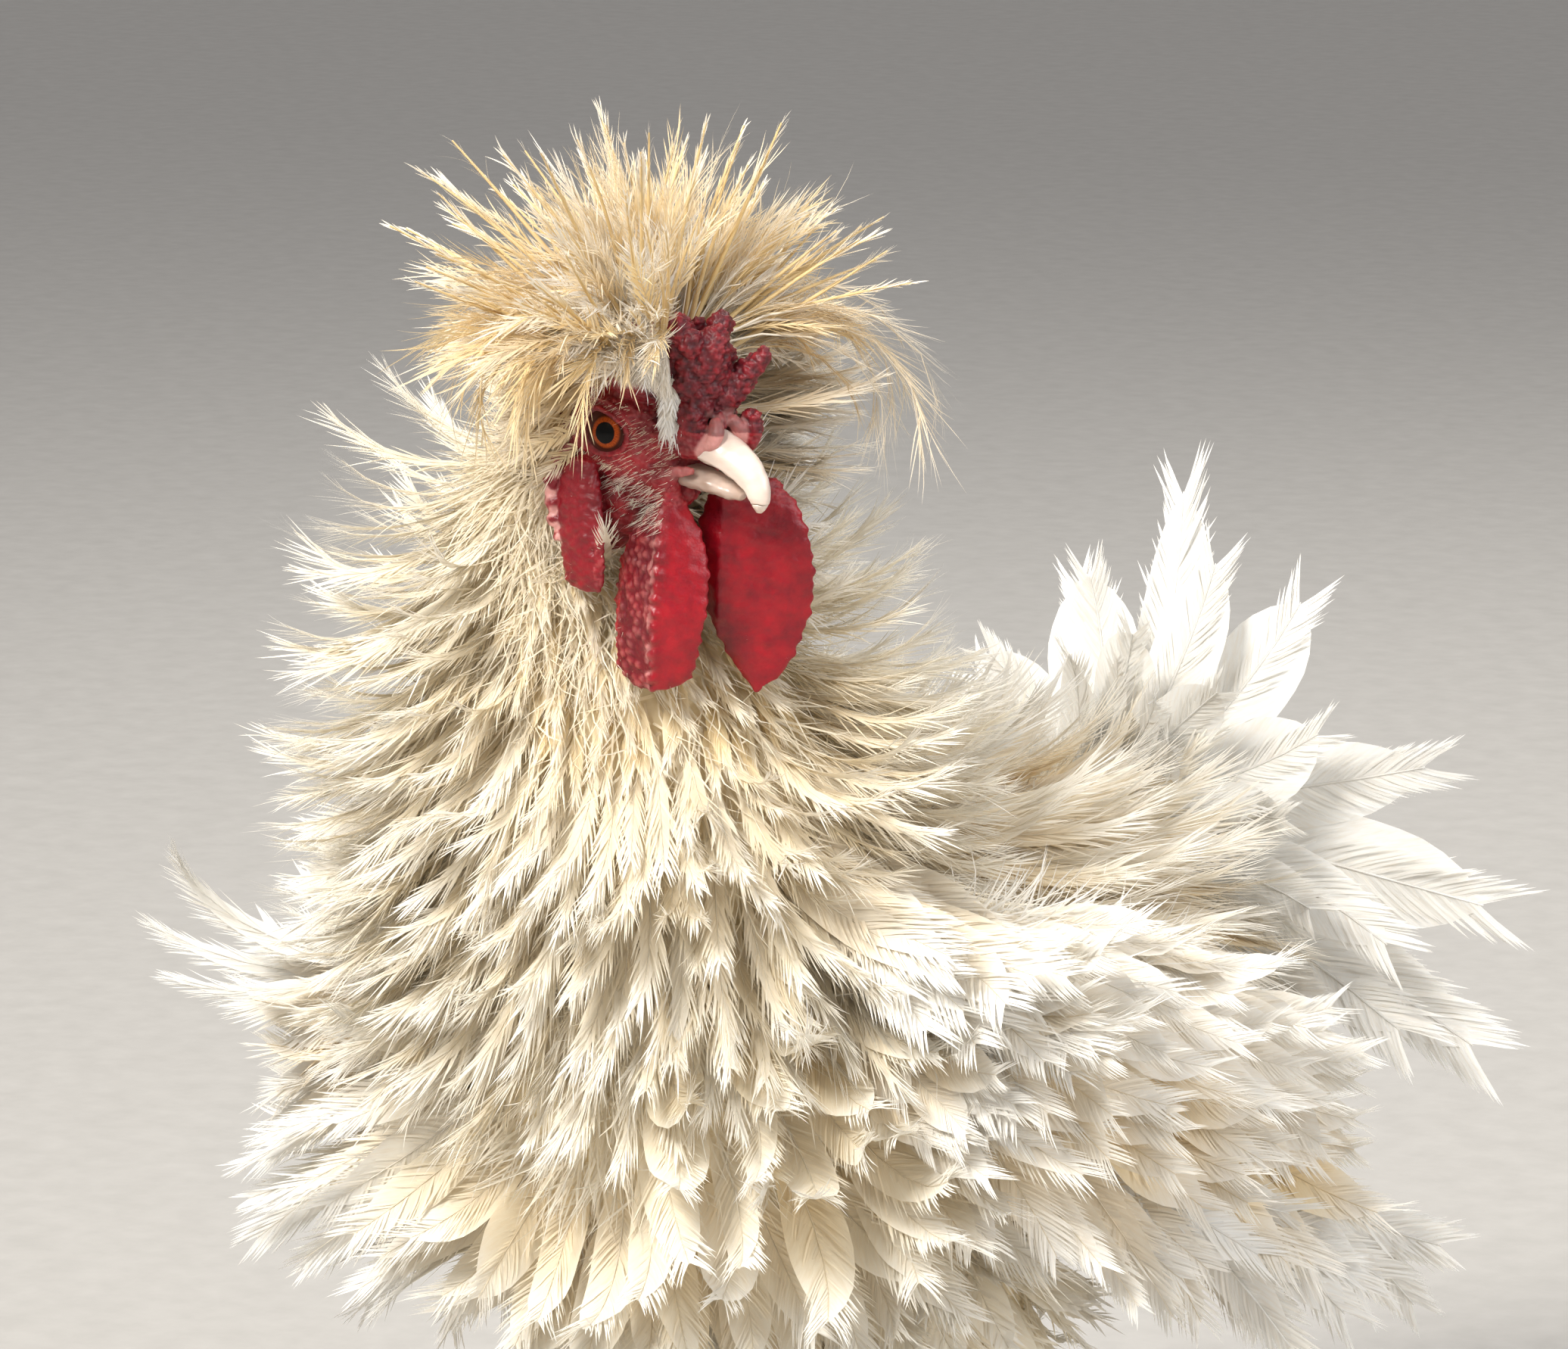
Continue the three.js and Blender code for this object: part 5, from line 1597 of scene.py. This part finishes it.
# Rows of wing feathers, from the flight feathers up: how many, where the row starts and ends along the wing,
# how white and how buff it is, how far round the wing it lies, and the lie and sizes of its feathers
WING_KEYS = ("count", "row", "white", "buff", "turn", "lie", "length", "width", "lift", "curl", "look")
WING_TIERS = [dict(zip(WING_KEYS, values)) for values in (
    (12, (0.98, 0.5), 0.75, 0.1, -52, (0.3, 0.8, -0.62), 92, 19, 5, 26, FLIGHT),
    # These three covert rows, low on the wing, are buffer and less white than those above: partly the
    # coverts' own buff and partly painted shade low on the wing.
    (13, (0.8, 0.1), 0.25, 1.1, -62, (0.25, 0.7, -0.8), 68, 17, 9, 34, COVERT),
    (13, (0.92, 0.08), 0.1, 1.3, -30, (0.2, 0.8, -0.7), 56, 20, 13, 38, COVERT),
    (13, (0.88, 0.06), 0.1, 1.2, -8, (0.2, 0.8, -0.7), 48, 19, 14, 42, COVERT),
    (13, (0.84, 0.04), 0.3, 0.6, 16, (0.2, 0.78, -0.7), 46, 19, 16, 44, COVERT),
    (13, (0.8, 0.02), 0.3, 0.6, 40, (0.2, 0.75, -0.7), 44, 18, 16, 44, COVERT),
    (11, (0.78, 0.02), 0.3, 0.6, 64, (0.25, 0.75, -0.7), 42, 18, 16, 40, COVERT),
)]


def outer_angle(limb, t, side):
    """The angle round a wing where its surface faces most to the outside."""
    turns = np.linspace(0, 2 * math.pi, 72, endpoint=False)
    at = np.full(72, t)
    reach = limb.normal(at, turns)[:, 0] * side
    return turns[int(np.argmax(reach))]


def wing_coat(side, dice):
    word = "left" if side > 0 else "right"
    chart = "wing_" + word
    coat = Coat("coat_" + chart, white_feather, "white_feather", [chart])
    limb = wing_limb(side)
    splay = SPLAY[side]
    for tier in WING_TIERS:
        n = tier["count"]
        share = np.linspace(0, 1, n)
        t = clamp(lerp(tier["row"][0], tier["row"][1], share) + dice.uniform(-0.03, 0.03, n), 0.02, 0.98)
        facing = np.array([outer_angle(limb, place, side) for place in t])
        above = np.sign(limb.normal(t, facing + 0.5)[:, 2] - limb.normal(t, facing - 0.5)[:, 2])
        angle = facing + above * np.radians(tier["turn"] + dice.uniform(-11, 11, n))
        lie = np.array(tier["lie"])
        f = {
            "root": limb.point(t, angle, -2.0),
            "out": unit(limb.normal(t, angle) + np.array([side * 0.8, 0, 0])),
            "lie": rows_of(lie[0] * side * splay["across"], lie[1] * splay["back"],
                           lie[2] + dice.uniform(-0.1, 0.1, n)),
            "length": tier["length"] * splay["reach"] * dice.uniform(0.8, 1.1, n),
            "width": tier["width"] * dice.uniform(0.8, 1.1, n),
            "lift": tier["lift"] + splay["lift"] * (1 - share) + dice.uniform(-2, 14, n),
            "curl": tier["curl"] + dice.uniform(-14, 40, n),
            **loose(dice, n, 22, 50),
            "white": tier["white"] * dice.uniform(0.7, 1.1, n),
            "buff": tier["buff"] * dice.uniform(0.7, 1.1, n),
            "uv": on_chart(chart, angle, t),
        }
        coat.grow(feather_part, f, tier["look"], dice)
    shoulders(coat, side, dice)
    if side < 0:
        plumes(coat, limb, dice)
    wing_flow = lambda root, out: rows_of(0.2 * side, 0.8, -0.7)[None] * np.ones((len(root), 1))
    down_on_limb(coat, limb, chart, wing_flow, 2600, (0.02, 0.95), 24, 0.9, dice, 0.4, 0.3)
    coat.build()


def shoulders(coat, side, dice):
    """Broad soft feathers with white ends, from the side of the neck down over the front of the wing."""
    high = 46 if side > 0 else 24
    n = high + 26
    share = np.concatenate([(np.arange(high) + 0.5) / high, dice.uniform(0.5, 1, n - high)])
    lower = (np.arange(n) >= high).astype(float)
    root = rows_of(side * lerp(50, 84, share), lerp(-64, -16, share) - 16 * lower, lerp(302, 266, share))
    root = root + dice.normal(0, 5, (n, 3))
    root[:, 2] -= lower * dice.uniform(16, 50, n)
    f = {
        "root": root, "out": unit(np.array([side * 0.6, -0.7, 0.35])),
        "lie": rows_of(side * 0.9, 0.35 + dice.uniform(-0.2, 0.2, n), -0.85 + dice.uniform(-0.25, 0.3, n)),
        "length": dice.uniform(50, 68, n) * (1 - 0.3 * lower) * lerp(1.1, 0.85, share),
        "width": dice.uniform(15, 21, n) * (1 - 0.15 * lower),
        "lift": dice.uniform(8, 24, n), "curl": dice.uniform(0, 40, n),
        **loose(dice, n, 18, 30),
        "white": 0.1 + 0.2 * dice.uniform(0, 1, n), "buff": 0.6 + 0.4 * dice.uniform(0, 1, n),
        "uv": on_chart("wing_left" if side > 0 else "wing_right", share * 3, np.full(n, 0.04)),
    }
    coat.grow(feather_part, f, dict(COVERT, white_tip=0.55, ruffle=0.08), dice)


# Three long plumes at the right wing's shoulder curve outwards: share, rise, length and curl of each.
PLUMES = [(0.18, 0.5, 78, 82), (0.28, 0.12, 80, 52), (0.38, -0.15, 84, 40)]


def plumes(coat, limb, dice):
    t = np.array([plume[0] for plume in PLUMES])
    rise = np.array([plume[1] for plume in PLUMES])
    facing = np.array([outer_angle(limb, place, -1) for place in t])
    f = {
        "root": limb.point(t, facing, -3.0), "out": unit(np.array([-0.1, -0.6, 0.8])),
        "lie": np.array([-1.0, -0.42, 0.0]), "length": np.array([float(plume[2]) for plume in PLUMES]),
        "width": 10.0, "lift": 34 * rise + 4, "curl": np.array([float(plume[3]) for plume in PLUMES]),
        "sweep": 0.0, "twist": 0.0, "white": 0.85, "buff": 0.1, "uv": on_chart("wing_right", facing, t),
    }
    look = dict(FLIGHT, shape="lance", angle=(24, 11), fray=0.03, longest=0.2, web=0.9, quill=0.5)
    coat.grow(feather_part, f, look, dice)


# Rows of tail feathers, from the back forward: how many, how far they fan out to each side, and their sizes
TAIL_KEYS = ("count", "spread", "length", "width", "back", "curl", "look")
TAIL_TIERS = [dict(zip(TAIL_KEYS, values)) for values in (
    (9, 108, 106, 34, 16, 6, FLIGHT),
    (8, 112, 94, 28, 6, 26, FLIGHT),
    (9, 116, 74, 22, -4, 44, FLIGHT),
    (16, 120, 56, 17, -14, 56, COVERT),
)]


def tail_coat(dice):
    coat = Coat("coat_tail", white_feather, "white_feather", ["tail"])
    hub = np.array([0.0, 178.0, BODY_MIDDLE + 28])
    for tier in TAIL_TIERS:
        n = tier["count"]
        around = np.radians(np.linspace(-tier["spread"], tier["spread"], n) + dice.uniform(-4, 4, n))
        fall = np.abs(around) / (math.pi / 2)
        dip = 1 - 0.16 * np.sin(2 * np.minimum(np.abs(around), math.pi / 2))
        out = rows_of(np.sin(around), 0, np.cos(around))
        frizz = dict(tier["look"], ruffle=0.12, waves=7, clumps=13, fray=0.035)
        f = {
            "root": hub + out * 13 + np.array([0, tier["back"], 0]),
            "out": unit(0.55 * out + np.array([0, -0.85, 0])),
            "lie": rows_of(1.05 * out[:, 0], 0.62, 0.95 - 1.4 * fall),
            "length": (tier["length"] + 16 * fall) * dip * dice.uniform(0.8, 1.03, n),
            "width": tier["width"] * dice.uniform(0.75, 1.1, n),
            "lift": dice.uniform(0, 10, n), "curl": tier["curl"] * dice.uniform(0.3, 1.6, n),
            **loose(dice, n, 24, 45),
            "white": 0.85, "buff": 0.1, "uv": on_chart("tail", around + math.pi, np.full(n, 0.5)),
        }
        coat.grow(feather_part, f, frizz, dice)
    tail_flow = lambda root, out: rows_of(0.8 * out[:, 0], 1.0, 0.6 * out[:, 2])
    down_on_limb(coat, tail_limb, "tail", tail_flow, 2500, (0.0, 0.95), 30, 0.9, dice, 0.6, 0.1)
    coat.build()


def thigh_coat(side, dice):
    word = "left" if side > 0 else "right"
    chart = "thigh_" + word
    coat = Coat("coat_" + chart, cream_feather, "cream_feather", [chart])
    limb = thigh_limb(side)
    flow = lambda root, out: rows_of(0, 0.25, -1)[None] * np.ones((len(root), 1))
    t, angle = limb.roots(THIGH_SPACING, (0.05, 0.97), dice)
    root = limb.point(t, angle, -2.0)
    n = len(t)
    low = ramp(BODY_MIDDLE - root[:, 2], 50, 115)
    f = {
        "root": root, "out": limb.normal(t, angle), "lie": flow(root, None) + dice.normal(0, 0.08, (n, 3)),
        "length": lerp(38, 26, low) * dice.uniform(0.85, 1.12, n), "width": lerp(15, 9, low),
        "lift": dice.uniform(12, 24, n), "curl": dice.uniform(30, 62, n),
        **loose(dice, n, 16, 30),
        "white": 0.3, "buff": 0.35, "uv": on_chart(chart, angle, t),
    }
    coat.grow(feather_part, f, dict(COVERT, barbs=16, fray=0.2), dice)
    down_on_limb(coat, limb, chart, flow, 2200, (0.02, 0.98), 18, 0.8, dice)
    coat.build()


def knob_roots(count, dice):
    """Random places over the crest's knob: directions from its middle, in the head's frame."""
    way = unit(dice.normal(size=(count * 4, 3)))
    keep = (way[:, 2] > -0.15) & ~((way[:, 1] < -0.55) & (way[:, 2] < 0.45))
    return way[keep][:count]


def crest_uv(way):
    return on_chart("crest", np.arctan2(way[:, 1], way[:, 0]), 0.5 + 0.5 * way[:, 2])


def crest_feathers(way, reach, dice):
    """Roots, outward directions and lies for feathers that stand out from the crest's knob."""
    n = len(way)
    upright = ramp(way[:, 2], 0.45, 0.95)
    lie = way * np.array([1, 1, 0]) + rows_of(dice.normal(0, 0.16, n), dice.normal(0, 0.16, n), 0)
    return {
        "root": from_head(CREST_MIDDLE + way * (CREST_SIZE - 2)),
        "out": head_way(np.tile([0.0, 0.0, 1.0], (n, 1))),
        "lie": head_way(lie),
        "length": lerp(57, 51, upright) * dice.uniform(0.65, 1.1, n) * reach,
        "lift": lerp(30, 78, upright) + dice.uniform(-12, 12, n),
        "curl": lerp(-60, -12, upright) * dice.uniform(0.3, 1.3, n),
        **loose(dice, n, 18, 80),
        "uv": crest_uv(way),
    }


def crest_coat(dice):
    coat = Coat("coat_crest", buff_feather, "buff_feather", ["crest"])
    way = knob_roots(CREST_STRAWS, dice)
    n = len(way)
    f = crest_feathers(way, 1.0, dice)
    f["curl"] = f["curl"] * dice.uniform(0.4, 2.2, n)
    f.update({"width": dice.uniform(5, 10, n), "white": 0.6 * dice.uniform(0, 1, n) ** 2,
              "buff": 0.3 + 0.9 * dice.uniform(0, 1, n)})
    grow_clear(coat, f, CREST_BRUSH, dice)
    way = knob_roots(CREST_PLUMES, dice)
    n = len(way)
    f = crest_feathers(way, 0.66, dice)
    f.update({"width": dice.uniform(9, 14, n), "white": 0.5 + 0.4 * dice.uniform(0, 1, n),
              "buff": 0.4 * dice.uniform(0, 1, n)})
    grow_clear(coat, f, dict(CREST_BRUSH, angle=(40, 20)), dice)
    sheaths(coat, dice)
    hanging(coat, dice)
    front_domes(coat, dice)
    nape(coat, dice)
    ruff(coat, dice)
    coat.build()


def sheaths(coat, dice):
    """Stiff new feathers still rolled in their sheaths, that stand out beyond the rest."""
    way = knob_roots(CREST_SHEATHS, dice)
    n = len(way)
    f = crest_feathers(way, 1.2, dice)
    f.update({"width": dice.uniform(1.6, 3.0, n), "curl": dice.uniform(-14, 6, n),
              "white": 0.05 * dice.uniform(0, 1, n), "buff": 0.8 + 0.4 * dice.uniform(0, 1, n)})
    look = dict(CREST_BRUSH, barbs=10, angle=(12, 7), bare=0.6, quill=0.95, fray=0.2, white_quill=0.0,
                white_tip=0.6)
    grow_clear(coat, f, look, dice)


def hanging(coat, dice):
    """A few soft plumes that arch over the left side of the crest and hang down."""
    n = HANGING_PLUMES
    way = unit(rows_of(dice.uniform(0.6, 1, n), dice.uniform(-0.7, 0.1, n), dice.uniform(0.2, 0.7, n)))
    f = {
        "root": from_head(CREST_MIDDLE + way * (CREST_SIZE - 2)),
        "out": head_way(np.tile([0.0, 0.0, 1.0], (n, 1))), "lie": head_way(way * np.array([1, 1, 0])),
        "length": dice.uniform(70, 92, n), "width": dice.uniform(9, 14, n),
        "lift": dice.uniform(20, 40, n), "curl": -dice.uniform(95, 135, n),
        **loose(dice, n, 10, 40),
        "white": 0.4, "buff": 0.5 * dice.uniform(0, 1, n), "uv": crest_uv(way),
    }
    coat.grow(feather_part, f, dict(CREST_BRUSH, barbs=34, angle=(30, 16), fray=0.15), dice)


def ruff(coat, dice):
    """Narrow feathers on the left of the head, that stand out to the side behind the face."""
    n = RUFF_FEATHERS
    root = rows_of(dice.uniform(10, 19, n), dice.uniform(-2, 16, n), dice.uniform(-34, 12, n))
    high = ramp(root[:, 2], -34, 12)
    f = {
        "root": from_head(root), "out": head_way(np.tile([0.25, -0.3, 0.92], (n, 1))),
        "lie": head_way(rows_of(1.0, -0.3, 0.0) + dice.normal(0, 0.2, (n, 3))),
        "length": dice.uniform(44, 68, n), "width": dice.uniform(6, 10, n),
        "lift": lerp(-16, 22, high) + dice.uniform(-8, 8, n), "curl": dice.uniform(-18, 40, n),
        **loose(dice, n, 16, 50),
        "white": 0.3 + 0.3 * dice.uniform(0, 1, n), "buff": 0.1 + 0.4 * dice.uniform(0, 1, n),
        "uv": on_chart("head", np.arctan2(root[:, 2], root[:, 0]), 0.5 + root[:, 1] / 60),
    }
    coat.grow(feather_part, f, dict(HACKLE, fray=0.12), dice)


def front_domes(coat, dice):
    """Smooth pale down in front of the knob on both sides of the comb, with a tuft down to the brow."""
    for side in (1, -1):
        n = DOME_DOWN
        across = dice.uniform(0.1, 1.15, n)
        height = dice.uniform(-0.1, 1.0, n)
        way = unit(rows_of(side * across, -1.0 + 0.75 * across, height * 0.9))
        lie = rows_of(side * (0.2 + 0.5 * across), -0.5, -0.9)
        f = {
            "root": from_head(CREST_MIDDLE + way * (CREST_SIZE - 1)), "out": head_way(way),
            "lie": head_way(lie + dice.normal(0, 0.16, (n, 3))),
            "length": dice.uniform(6, 10, n), "width": dice.uniform(0.3, 0.55, n),
            "lift": dice.uniform(20, 44, n), "curl": dice.uniform(-50, -10, n),
            **loose(dice, n, 20, 60),
            "white": 0.5 + 0.3 * dice.uniform(0, 1, n), "buff": 0.2 + 0.5 * dice.uniform(0, 1, n),
            "uv": crest_uv(way),
        }
        grow_clear(coat, f, {}, dice, blade_part)
        n = BROW_TUFT
        root = rows_of(side * dice.uniform(5.5, 10.5, n), dice.uniform(-21, -17, n), dice.uniform(13, 19, n))
        f = {
            "root": from_head(root), "out": head_way(np.tile(unit(np.array([side, -1, 0.2])), (n, 1))),
            "lie": head_way(rows_of(0.1 * side, -0.25, -1.0) + dice.normal(0, 0.12, (n, 3))),
            "length": dice.uniform(10, 16, n), "width": dice.uniform(2.5, 4.0, n),
            "lift": dice.uniform(0, 16, n), "curl": dice.uniform(-30, 0, n),
            **loose(dice, n, 12, 30),
            "white": 0.75, "buff": 0.15, "uv": crest_uv(unit(root - CREST_MIDDLE)),
        }
        coat.grow(feather_part, f, dict(FLUFF, barbs=10, quill=0.1, quill_step=5, fray=0.2), dice)


# The comb stands free in the crest's parting: the gap's middle and half width, by height above the eye
PARTING_HEIGHTS = (-6, 0, 8, 16, 24, 33)
PARTING_MIDDLES = (24, 23, 21.5, 20, 18, 17.5)
PARTING_HALVES = (10, 11, 11, 10.5, 9.5, 8.5)


def grow_clear(coat, f, look, dice, maker=None):
    """Grows the feathers that stay clear of the comb and the eyes, as seen from the front right."""
    n = len(f["root"])
    f = full_spec(f, n)
    from_eye = spines(f, ROUGH_STEPS)[0] - np.array(HEAD_PLACE)
    right = np.array([math.cos(VIEW), math.sin(VIEW), 0.0])
    across, high = from_eye @ right, from_eye[..., 2]
    toward = from_eye @ np.array([math.sin(VIEW), -math.cos(VIEW), 0.0])
    middle = np.interp(high, PARTING_HEIGHTS, PARTING_MIDDLES)
    half = np.interp(high, PARTING_HEIGHTS, PARTING_HALVES)
    in_parting = (np.abs(across - middle) < half) & (high > -8) & (high < 32) & (toward > 4)
    over_eye = (np.hypot((across + 2) / 12.5, (high - 2) / 11) < 1) & (toward > 4)
    blocked = (in_parting | over_eye).any(1)
    coat.grow(maker or feather_part, picked(f, ~blocked), look, dice)


def nape(coat, dice):
    """Soft feathers over the back of the skull and behind the eye, which fall back and down."""
    n = NAPE_FEATHERS
    t = dice.uniform(0.02, 0.56, n)
    angle = dice.uniform(0, 2 * math.pi, n)
    root = skull_limb.point(t, angle, -0.5)
    out = skull_limb.normal(t, angle)
    x, y, z = root.T
    keep = (y > 3.5 + 0.35 * np.abs(z + 2)) | ((z > 7.5) & (y > -6))
    f = {
        "root": from_head(root), "out": head_way(out),
        "lie": head_way(rows_of(0.15 * np.sign(x), 0.75, -0.75) + dice.normal(0, 0.14, (n, 3))),
        "length": dice.uniform(16, 26, n), "width": dice.uniform(7, 10, n),
        "lift": dice.uniform(14, 34, n), "curl": dice.uniform(-20, 25, n),
        **loose(dice, n, 20, 30),
        "white": 0.05 + 0.15 * dice.uniform(0, 1, n), "buff": 0.6 + 0.4 * dice.uniform(0, 1, n),
        "uv": on_chart("head", angle, t),
    }
    grow_clear(coat, picked(full_spec(f, n), keep), dict(FLUFF, barbs=13, quill=0.14, quill_step=5), dice)


def bristle_coat(dice):
    """Short fine bristles on the bare face: back from the beak, and in a band down the cheek."""
    coat = Coat("coat_face", cream_feather, "cream_feather", ["head"])
    x, y, z = head_points.T
    face = (np.abs(x) > 5) & (np.abs(x) < 15.5) & (y > -23) & (y < 6) & (z < 9) & (z > -24)
    face &= lid_opening(head_points) > 2.4
    face &= ~((y > -5) & (z < -10) & (np.abs(x) > 11.5))
    lores = face & (y < -6) & (z > -9)
    band = face & (z < -7 - 0.2 * (y + 20)) & (z > -25)
    rest = face & ~lores & ~band
    for area, count, length, white in ((lores, 420, 3.2, 0.1), (band, 560, 4.6, 0.4), (rest, 260, 2.4, 0.1)):
        where = np.flatnonzero(area)
        if not len(where):
            continue
        chosen = dice.choice(where, count)
        root = head_points[chosen]
        n = count
        side = np.sign(root[:, 0])
        out = unit(rows_of(side, -0.25, 0.0) + 0.25 * unit(root))
        lie = rows_of(0.1 * side, 1.0, -0.55 - 0.5 * ramp(root[:, 1], -8, 6)) + dice.normal(0, 0.2, (n, 3))
        f = {
            "root": from_head(root), "out": head_way(out), "lie": head_way(lie),
            "length": length * dice.uniform(0.6, 1.3, n), "width": dice.uniform(0.08, 0.17, n),
            "lift": dice.uniform(6, 26, n), "curl": dice.uniform(-20, 15, n),
            **loose(dice, n, 15, 60),
            "white": white, "buff": 0.3,
            "uv": on_chart("head", np.arctan2(root[:, 2], root[:, 0]), 0.5 + root[:, 1] / 60),
        }
        coat.grow(blade_part, f, {}, dice)
    coat.build()


dice = np.random.default_rng(SEED)
torso_coat(dice)
hackle_coat(dice)
wing_coat(1, dice)
wing_coat(-1, dice)
tail_coat(dice)
thigh_coat(1, dice)
thigh_coat(-1, dice)
crest_coat(dice)
bristle_coat(dice)


# Camera, floor and light

CAMERA_ELEVATION = math.radians(9)
CAMERA_DISTANCE = 2000.0
CAMERA_FOCUS = np.array(HEAD_PLACE)
SENSOR_WIDTH = 36
LENS = 169.5
FARTHEST_SEEN = 50
FRAME_RIGHT = 40.0
FRAME_DOWN = 68.0
FLOOR_HALF = 40.0
LIGHT_AIM = Vector((0, 0, 0.28))


def build_camera():
    back = np.array([
        math.sin(VIEW) * math.cos(CAMERA_ELEVATION),
        -math.cos(VIEW) * math.cos(CAMERA_ELEVATION),
        math.sin(CAMERA_ELEVATION),
    ])
    right = np.array([math.cos(VIEW), math.sin(VIEW), 0.0])
    up = np.cross(back, right)
    place = (CAMERA_FOCUS + back * CAMERA_DISTANCE) * MM + SHIFT
    aim = (CAMERA_FOCUS + right * FRAME_RIGHT - up * FRAME_DOWN) * MM + SHIFT
    data = bpy.data.cameras.new("camera")
    data.sensor_width = SENSOR_WIDTH
    data.lens = LENS
    data.dof.use_dof = False
    data.clip_end = FARTHEST_SEEN
    camera = bpy.data.objects.new("camera", data)
    camera.location = Vector(place)
    camera.rotation_euler = (Vector(place) - Vector(aim)).to_track_quat("Z", "Y").to_euler()
    bpy.context.scene.collection.objects.link(camera)
    bpy.context.scene.camera = camera


def floor_material():
    sh = Shader("floor")
    grain = sh.noise(60.0, 4.0, 0.6, sh.place())
    tone = sh.mix(sh.spread(grain, 0.3, 0.7), colour(176, 172, 166), colour(184, 180, 174))
    return sh.finish(sh.principled(tone, 0.9))


def build_floor():
    points = FLOOR_HALF * np.array([[-1, -1, 0], [1, -1, 0], [1, 1, 0], [-1, 1, 0]])
    mesh = new_mesh("floor", points, np.array([[0, 1, 2], [0, 2, 3]]))
    mesh.materials.append(floor_material())
    floor = bpy.data.objects.new("floor", mesh)
    bpy.context.scene.collection.objects.link(floor)


def add_light(name, azimuth, elevation, distance, size, power, tint):
    """A soft square light that looks at the bird from an azimuth and an elevation."""
    a, e = math.radians(azimuth), math.radians(elevation)
    way = Vector((math.sin(a) * math.cos(e), -math.cos(a) * math.cos(e), math.sin(e)))
    data = bpy.data.lights.new(name, "AREA")
    data.size = size
    data.energy = power
    data.color = tint
    light = bpy.data.objects.new(name, data)
    light.location = LIGHT_AIM + way * distance
    light.rotation_euler = way.to_track_quat("Z", "Y").to_euler()
    bpy.context.scene.collection.objects.link(light)


def build_light():
    add_light("key", 2, 42, 2.2, 0.7, 67, (1.0, 0.98, 0.94))
    add_light("fill", 88, 25, 2.6, 1.6, 30, (0.97, 0.98, 1.0))
    add_light("rim", 200, 48, 2.4, 0.9, 30, (1.0, 0.99, 0.96))
    world = bpy.data.worlds.new("studio")
    world.use_nodes = True
    background = world.node_tree.nodes["Background"]
    background.inputs[0].default_value = colour(182, 182, 184)
    background.inputs[1].default_value = 1.0
    bpy.context.scene.world = world
    bpy.context.scene.view_settings.view_transform = "Standard"


build_camera()
build_floor()
build_light()
